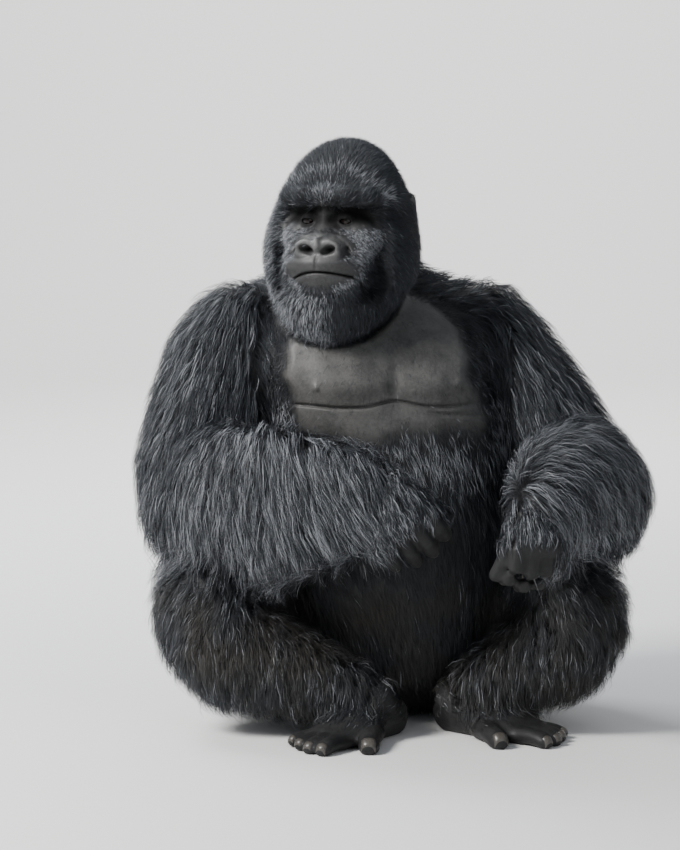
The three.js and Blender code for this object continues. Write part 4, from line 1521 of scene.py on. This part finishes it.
def locks(nodes, stream, spec, wanted):
    """Locks of ribbons on some solids; `spec` names their sizes in metres."""
    spec = {**USUAL, **spec}
    roots, normals = roots_on(nodes, spec["spacing"], wanted)
    count, copies = len(roots), spec["ribbons"]
    long = for_each(spec["length"], roots) * (0.72 + 0.5 * rng.random(count))
    reach = spec["low"] + (spec["high"] - spec["low"]) * rng.random(count)
    main = walk(roots, normals, stream, long, reach, spec)

    turn = rng.random((count, copies)) * 2 * math.pi
    apart = spec["spread"] * np.sqrt(rng.random((count, copies)))
    side = unit(np.cross(normals, np.array([0.3, 0.2, 0.93])))
    other = np.cross(normals, side)
    offset = np.cos(turn)[..., None] * side[:, None] + np.sin(turn)[..., None] * other[:, None]
    offset = offset * apart[..., None]
    t = np.linspace(0, 1, spec["steps"] + 1)
    close = 1.0 - spec["clump"] * t ** 0.8
    shorter = 0.8 + 0.2 * rng.random((count, copies))
    flutter = rng.normal(size=(count, copies, 1, 3)) * spec["spread"] * 0.45 * (t ** 1.5)[:, None]
    ripple = np.sin(9.0 * t + 6.3 * rng.random((count, copies, 1)))[..., None] * t[:, None]
    flutter = flutter + rng.normal(size=(count, copies, 1, 3)) * spec["frizz"] * ripple
    curves = roots[:, None, None] + (main[:, None] - roots[:, None, None]) * shorter[..., None, None]
    curves = curves + offset[:, :, None] * close[:, None] + flutter
    curves = curves.reshape(-1, spec["steps"] + 1, 3)

    settle = field_at(curves[:, 0])
    first = field_at(np.repeat(roots, copies, axis=0))
    sunk = np.clip(settle[:, 0], -0.006, 0.006) - np.clip(first[:, 0], -0.006, 0.006)
    curves = curves - (settle[:, 2:5] * (sunk + SUNK)[:, None])[:, None] * (1 - t)[None, :, None]
    curves[..., 2] = np.maximum(curves[..., 2], LOCK_GROUND)

    total = len(curves)
    width = spec["width"] * (0.7 + 0.6 * rng.random(total))
    twist = rng.normal(size=total) * 0.4
    shade = np.repeat(rng.random(count), copies) * 0.5 + rng.random(total) * 0.5
    shade = np.clip(0.5 + (shade - 0.5) * spec["contrast"], 0.001, 0.999)
    pale = for_each(spec["pale"], roots) * (0.2 + 2.4 * rng.random(count) ** 2)
    shade = shade + (rng.random(total) < np.repeat(pale, copies))
    return curves, np.repeat(normals, copies, axis=0), width, twist, shade


def short_tufts(nodes, spec, stream, wanted, pale):
    """Tufts too short to need a walk: place = root + flow s + 0.34 length normal sin(1.9 t)."""
    roots, normals = roots_on(nodes, spec["spacing"], wanted)
    roots = np.repeat(roots, spec["ribbons"], axis=0)
    normals = np.repeat(normals, spec["ribbons"], axis=0)
    roots = roots + rng.normal(size=roots.shape) * spec["spread"] * 0.5 - normals * 0.0006
    flow = unit(stream(roots))
    flow = flow - (flow * normals).sum(axis=1, keepdims=True) * normals
    flow = unit(flow + rng.normal(size=roots.shape) * 0.18)
    total = len(roots)
    long = spec["length"] * (0.6 + 0.8 * rng.random(total))
    t = np.array([0.0, 0.5, 1.0])
    rise = 0.34 * long[:, None] * np.sin(t * 1.9)
    curves = roots[:, None] + flow[:, None] * (long[:, None] * t)[..., None]
    curves = curves + normals[:, None] * rise[..., None]
    shade = np.clip(rng.random(total), 0.001, 0.999) + (rng.random(total) < for_each(pale, roots))
    width = spec["width"] * (0.7 + 0.6 * rng.random(total))
    return curves, normals, width, rng.normal(size=total) * 0.5, shade


# %% [markdown]
# ## Where hair grows
#
# How much hair is wanted is a number for each triangle of the skin, from its middle and
# the way it faces. Head and trunk leave out the bare face and breast, the hands have hair
# on the back only, and the feet only on top. Palms and soles stay bare.

# %% Where hair grows
WAIST_Y = 0.06


def furry(p, n):
    """Head and trunk: off the bare face and breast."""
    bare = np.maximum(face_mask(*in_face(*p.T)), chest_mask(*p.T))
    return np.clip(1.3 - 1.7 * bare, 0.0, 1.0) * (p[:, 2] > 0.004)


def furry_back(p, n):
    return furry(p, n) * (p[:, 1] >= WAIST_Y)


def furry_front(p, n):
    return furry(p, n) * (p[:, 1] < WAIST_Y)


def furry_limb(p, n):
    """Limbs are haired all round, down to the floor."""
    return (p[:, 2] > 0.004) * 1.0


def back_of_hand(side):
    """From the wrist towards the knuckles, on the side that faces forwards and up."""
    last = (0.92, 0.55)[side]

    def wanted(p, n):
        t = along(p, WRISTS[side], KNUCKLES[side])
        return fade(t, last - 0.12, last + 0.1) * (n @ np.array([0.0, -0.8, 0.6]) > -0.4)
    return wanted


def top_of_foot(side):
    """A cuff of hair round the ankle that ends on the instep."""
    def wanted(p, n):
        away = np.linalg.norm(p[:, :2] - ANKLES[side][:2], axis=1)
        return fade(away, 0.05, 0.12) * smooth(n[:, 2], -0.1, 0.2) * (p[:, 2] > 0.012)
    return wanted


def face_hair(p, n):
    """Sparse short hairs on cheeks, lips' edges and chin; none on eyes and nose."""
    a, f, u = in_face(*p.T)
    nose = np.sqrt((a / 56.0) ** 2 + ((u + 46.0) / 26.0) ** 2)
    lips = np.sqrt((a / 66.0) ** 2 + ((u + 86.0) / 26.0) ** 2)
    clear = smooth(np.minimum(nose, lips), 0.95, 1.25)
    return smooth(face_mask(a, f, u), 0.02, 0.2) * clear * fade(u, -20.0, -8.0)


def brow_hair(p, n):
    """A dense short coat on top of the brow, that ends in a sharp line above the eyes."""
    a, f, u = in_face(*p.T)
    return smooth(u, 28.0, 32.0) * fade(u, 46.0, 62.0) * smooth(f, -50.0, -25.0)


def breast_down(p, n):
    """Sparse short hairs on the breast, denser towards the edge of the coat."""
    bare = chest_mask(*p.T)
    return smooth(bare, 0.02, 0.25) * (1.0 - 0.93 * smooth(bare, 0.35, 1.0)) * (n[:, 1] < 0.2)


# %% [markdown]
# ## Which hairs are pale, and which are long
#
# Age frosts a silverback: pale hairs make a fan above the nose and an arch over the
# forehead, run down the right side of the beard, and lie in a band across the belly.
# The beard's left side is kept dark as painted shade, and the right cheek is made paler
# as painted light, on the side that the key light falls on.
# A share of 0.3 means that three ribbons in ten are pale there. Length changes too:
# hair trails from the elbows, and shortens towards the bare breast.

# %% Pale hairs and long hairs
def pale_head(p):
    """Share of pale hairs on the head: arch, fan, brow, beard and right cheek; the right cheek's are painted
    light, and the beard's left is kept dark as painted shade.
    """
    a, f, u = in_face(*p.T)
    near = smooth(f, -90.0, -50.0)
    arch = 0.34 * bell(u - 86.0 + 0.005 * a * a, 10.0)
    fan = 0.70 * bell(a, 20.0) * bell(u - 42.0, 17.0)
    brow = 0.20 * smooth(a, 10.0, 30.0) * bell(u - 40.0, 8.0)
    # pale hair on the lit right of the beard; its left is kept dark as painted shade
    beard = 0.40 * smooth(-u, 100.0, 120.0) * fade(a, -5.0, 30.0)
    # right cheek made paler: painted light where the key light falls
    side = 0.22 * fade(a, -90.0, -60.0)
    return np.clip(0.01 + near * (arch + fan + brow + beard) + side, 0.0, 1.0)


def pale_face(p):
    """Pale on the cheeks and in a fan between the brows."""
    a, f, u = in_face(*p.T)
    cheeks = 0.04 + 0.80 * smooth(-u, 5.0, 20.0) * smooth(np.abs(a), 20.0, 40.0)
    return np.maximum(cheeks, 0.5 * bell(a, 20.0) * smooth(u, 20.0, 30.0))


def pale_belly(p):
    """A pale band across the belly, under the breast."""
    return 0.005 + 0.575 * smooth(p[:, 2], 0.43, 0.52) * fade(p[:, 2], 0.58, 0.62)


def shorter_at_the_breast(p):
    """Body hair is half as long where it ends at the bare breast."""
    near = np.max([chest_mask(*(p + np.array([dx, 0.0, 0.0])).T) for dx in (-0.03, 0.0, 0.03)], axis=0)
    return 0.048 * (1.0 - 0.55 * near)


def longer_at_the_elbow(p):
    """Hair trails from the elbows, where it is half as long again as on the forearm."""
    elbow = np.min([np.linalg.norm(p - place, axis=1) for place in ELBOWS], axis=0)
    return 0.096 + 0.045 * fade(elbow, 0.06, 0.16)


# %% [markdown]
# ## The numbers of each region
#
# Lengths are in metres. `spacing` is how far a lock's root is from the next, `ribbons`
# how many it holds, `spread` how far apart they start and `clump` how much they draw
# together. `low` and `high` are the shares of the coat's thickness that locks climb to,
# `gravity` and `wave` bend them, and `frizz` ripples each ribbon by itself.

# %% The numbers of each region
ARM = dict(length=0.080, spacing=0.0073, ribbons=6, spread=0.007, width=0.0011, steps=4,
           gravity=0.35, wave=0.16, clump=0.45, low=0.50, high=1.30, pale=0.12)
# on the forearms a third of the ribbons are pale: partly pale hair, partly painted sheen for the highlights
# along them
FOREARM = dict(length=longer_at_the_elbow, spacing=0.0086, ribbons=9, spread=0.010, width=0.0009, steps=4,
               gravity=0.5, wave=0.20, clump=0.5, low=0.50, high=1.25, pale=0.32, frizz=0.0012)
THIGH = dict(length=0.056, spacing=0.0083, ribbons=8, spread=0.009, width=0.0010, steps=3,
             gravity=0.2, wave=0.22, clump=0.35, low=0.50, high=1.40, pale=0.05, contrast=0.5)
BACK = dict(length=0.055, spacing=0.0118, ribbons=6, spread=0.010, width=0.0016, steps=3,
            gravity=0.2, wave=0.16, clump=0.4, low=0.45, high=1.1, pale=0.03)
FRONT = dict(length=shorter_at_the_breast, spacing=0.0100, ribbons=8, spread=0.010, width=0.0008, steps=3,
             gravity=0.2, wave=0.2, clump=0.35, low=0.25, high=0.9, pale=pale_belly, rise=0.8, contrast=0.7)
HEAD = dict(length=0.022, spacing=0.0040, ribbons=5, spread=0.0042, width=0.00075, steps=2,
            gravity=0.05, wave=0.10, clump=0.15, low=0.60, high=1.20, pale=pale_head, rise=0.8, contrast=0.5)
HAND = dict(length=0.040, spacing=0.0056, ribbons=6, spread=0.0055, width=0.0010, steps=4,
            gravity=0.35, wave=0.25, clump=0.5, low=0.6, high=1.7, pale=0.26, frizz=0.0012)
FOOT = dict(length=0.020, spacing=0.0056, ribbons=4, spread=0.004, width=0.0009, steps=3,
            gravity=0.1, wave=0.2, clump=0.5, low=0.5, high=1.3, pale=0.05)
FACE = dict(length=0.0090, spacing=0.0024, ribbons=3, spread=0.0020, width=0.0006)
BROW = dict(length=0.0130, spacing=0.0022, ribbons=3, spread=0.0020, width=0.0006)
BREAST = dict(length=0.0150, spacing=0.0046, ribbons=3, spread=0.0040, width=0.0005)

# %% [markdown]
# ## Growing head and trunk
#
# Each region is a mesh of its own, so that none grows too large to handle. Its line is
# the axis that the unwrap goes round: upright through the middle of head and trunk.

# %% Grow head and trunk
TRUNK = ["rump", "belly", "chest", "neck"]
HEAD_LINE = round_line(HEAD_MIDDLE + 0.2 * DOWN, HEAD_MIDDLE - 0.2 * DOWN, 0.42)
TRUNK_LINE = round_line(np.array([0.0, 0.13, 0.0]), np.array([0.0, 0.13, 1.0]), 1.05)

face_tufts = short_tufts(["head"], FACE, stream_face, face_hair, pale_face)
brow_tufts = short_tufts(["head"], BROW, stream_face, brow_hair, pale_face)
coat_triangles = add_coat("coat_face", [face_tufts, brow_tufts], HEAD_LINE)
coat_triangles += add_coat("coat_head", [locks(["head"], stream_head, HEAD, furry)], HEAD_LINE)
coat_triangles += add_coat("coat_trunk_back", [locks(TRUNK, stream_trunk, BACK, furry_back)], TRUNK_LINE)
front_locks = locks(TRUNK, stream_trunk, FRONT, furry_front)
breast_tufts = short_tufts(TRUNK, BREAST, stream_down, breast_down, 0.03)
coat_triangles += add_coat("coat_trunk_front", [front_locks, breast_tufts], TRUNK_LINE)
report("head and trunk", coat_triangles)

# %% [markdown]
# ## Growing the limbs
#
# Right and left limbs take the same numbers. Only the streams differ, because the right
# arm is folded across the belly and the left one stands on its thigh.

# %% Grow the limbs
for side, label in enumerate(SIDE_NAMES):
    arm = [locks([f"upper_arm_{label}"], stream_arm(side), ARM, furry_limb)]
    line = round_line(SHOULDERS[side], ELBOWS[side], 0.42)
    coat_triangles += add_coat(f"coat_upper_arm_{label}", arm, line)

    stream = (stream_forearm_right, stream_forearm_left)[side]
    forearm = [locks([f"forearm_{label}"], stream, FOREARM, furry_limb),
               locks([f"hand_{label}"], stream_hand(side), HAND, back_of_hand(side))]
    line = round_line(ELBOWS[side], WRISTS[side], 0.46)
    coat_triangles += add_coat(f"coat_forearm_{label}", forearm, line)

    leg = [locks([f"thigh_{label}"], stream_leg(HIPS, KNEES, side), THIGH, furry_limb),
           locks([f"lower_leg_{label}"], stream_leg(KNEES, ANKLES, side), THIGH, furry_limb),
           locks([f"foot_{label}"], stream_foot(side), FOOT, top_of_foot(side))]
    line = round_line(HIPS[side], KNEES[side], 0.62)
    coat_triangles += add_coat(f"coat_leg_{label}", leg, line)
report("coat triangles", coat_triangles)

# %% [markdown]
# ## Size, and the end
#
# The finished animal should be as large as its solids, give or take a hair.

# %% Size, and the end
visual_box = [list(map(float, corner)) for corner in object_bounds()]
report("solids", np.round(CAD_BOX, 3).tolist(), "finished", np.round(visual_box, 3).tolist())
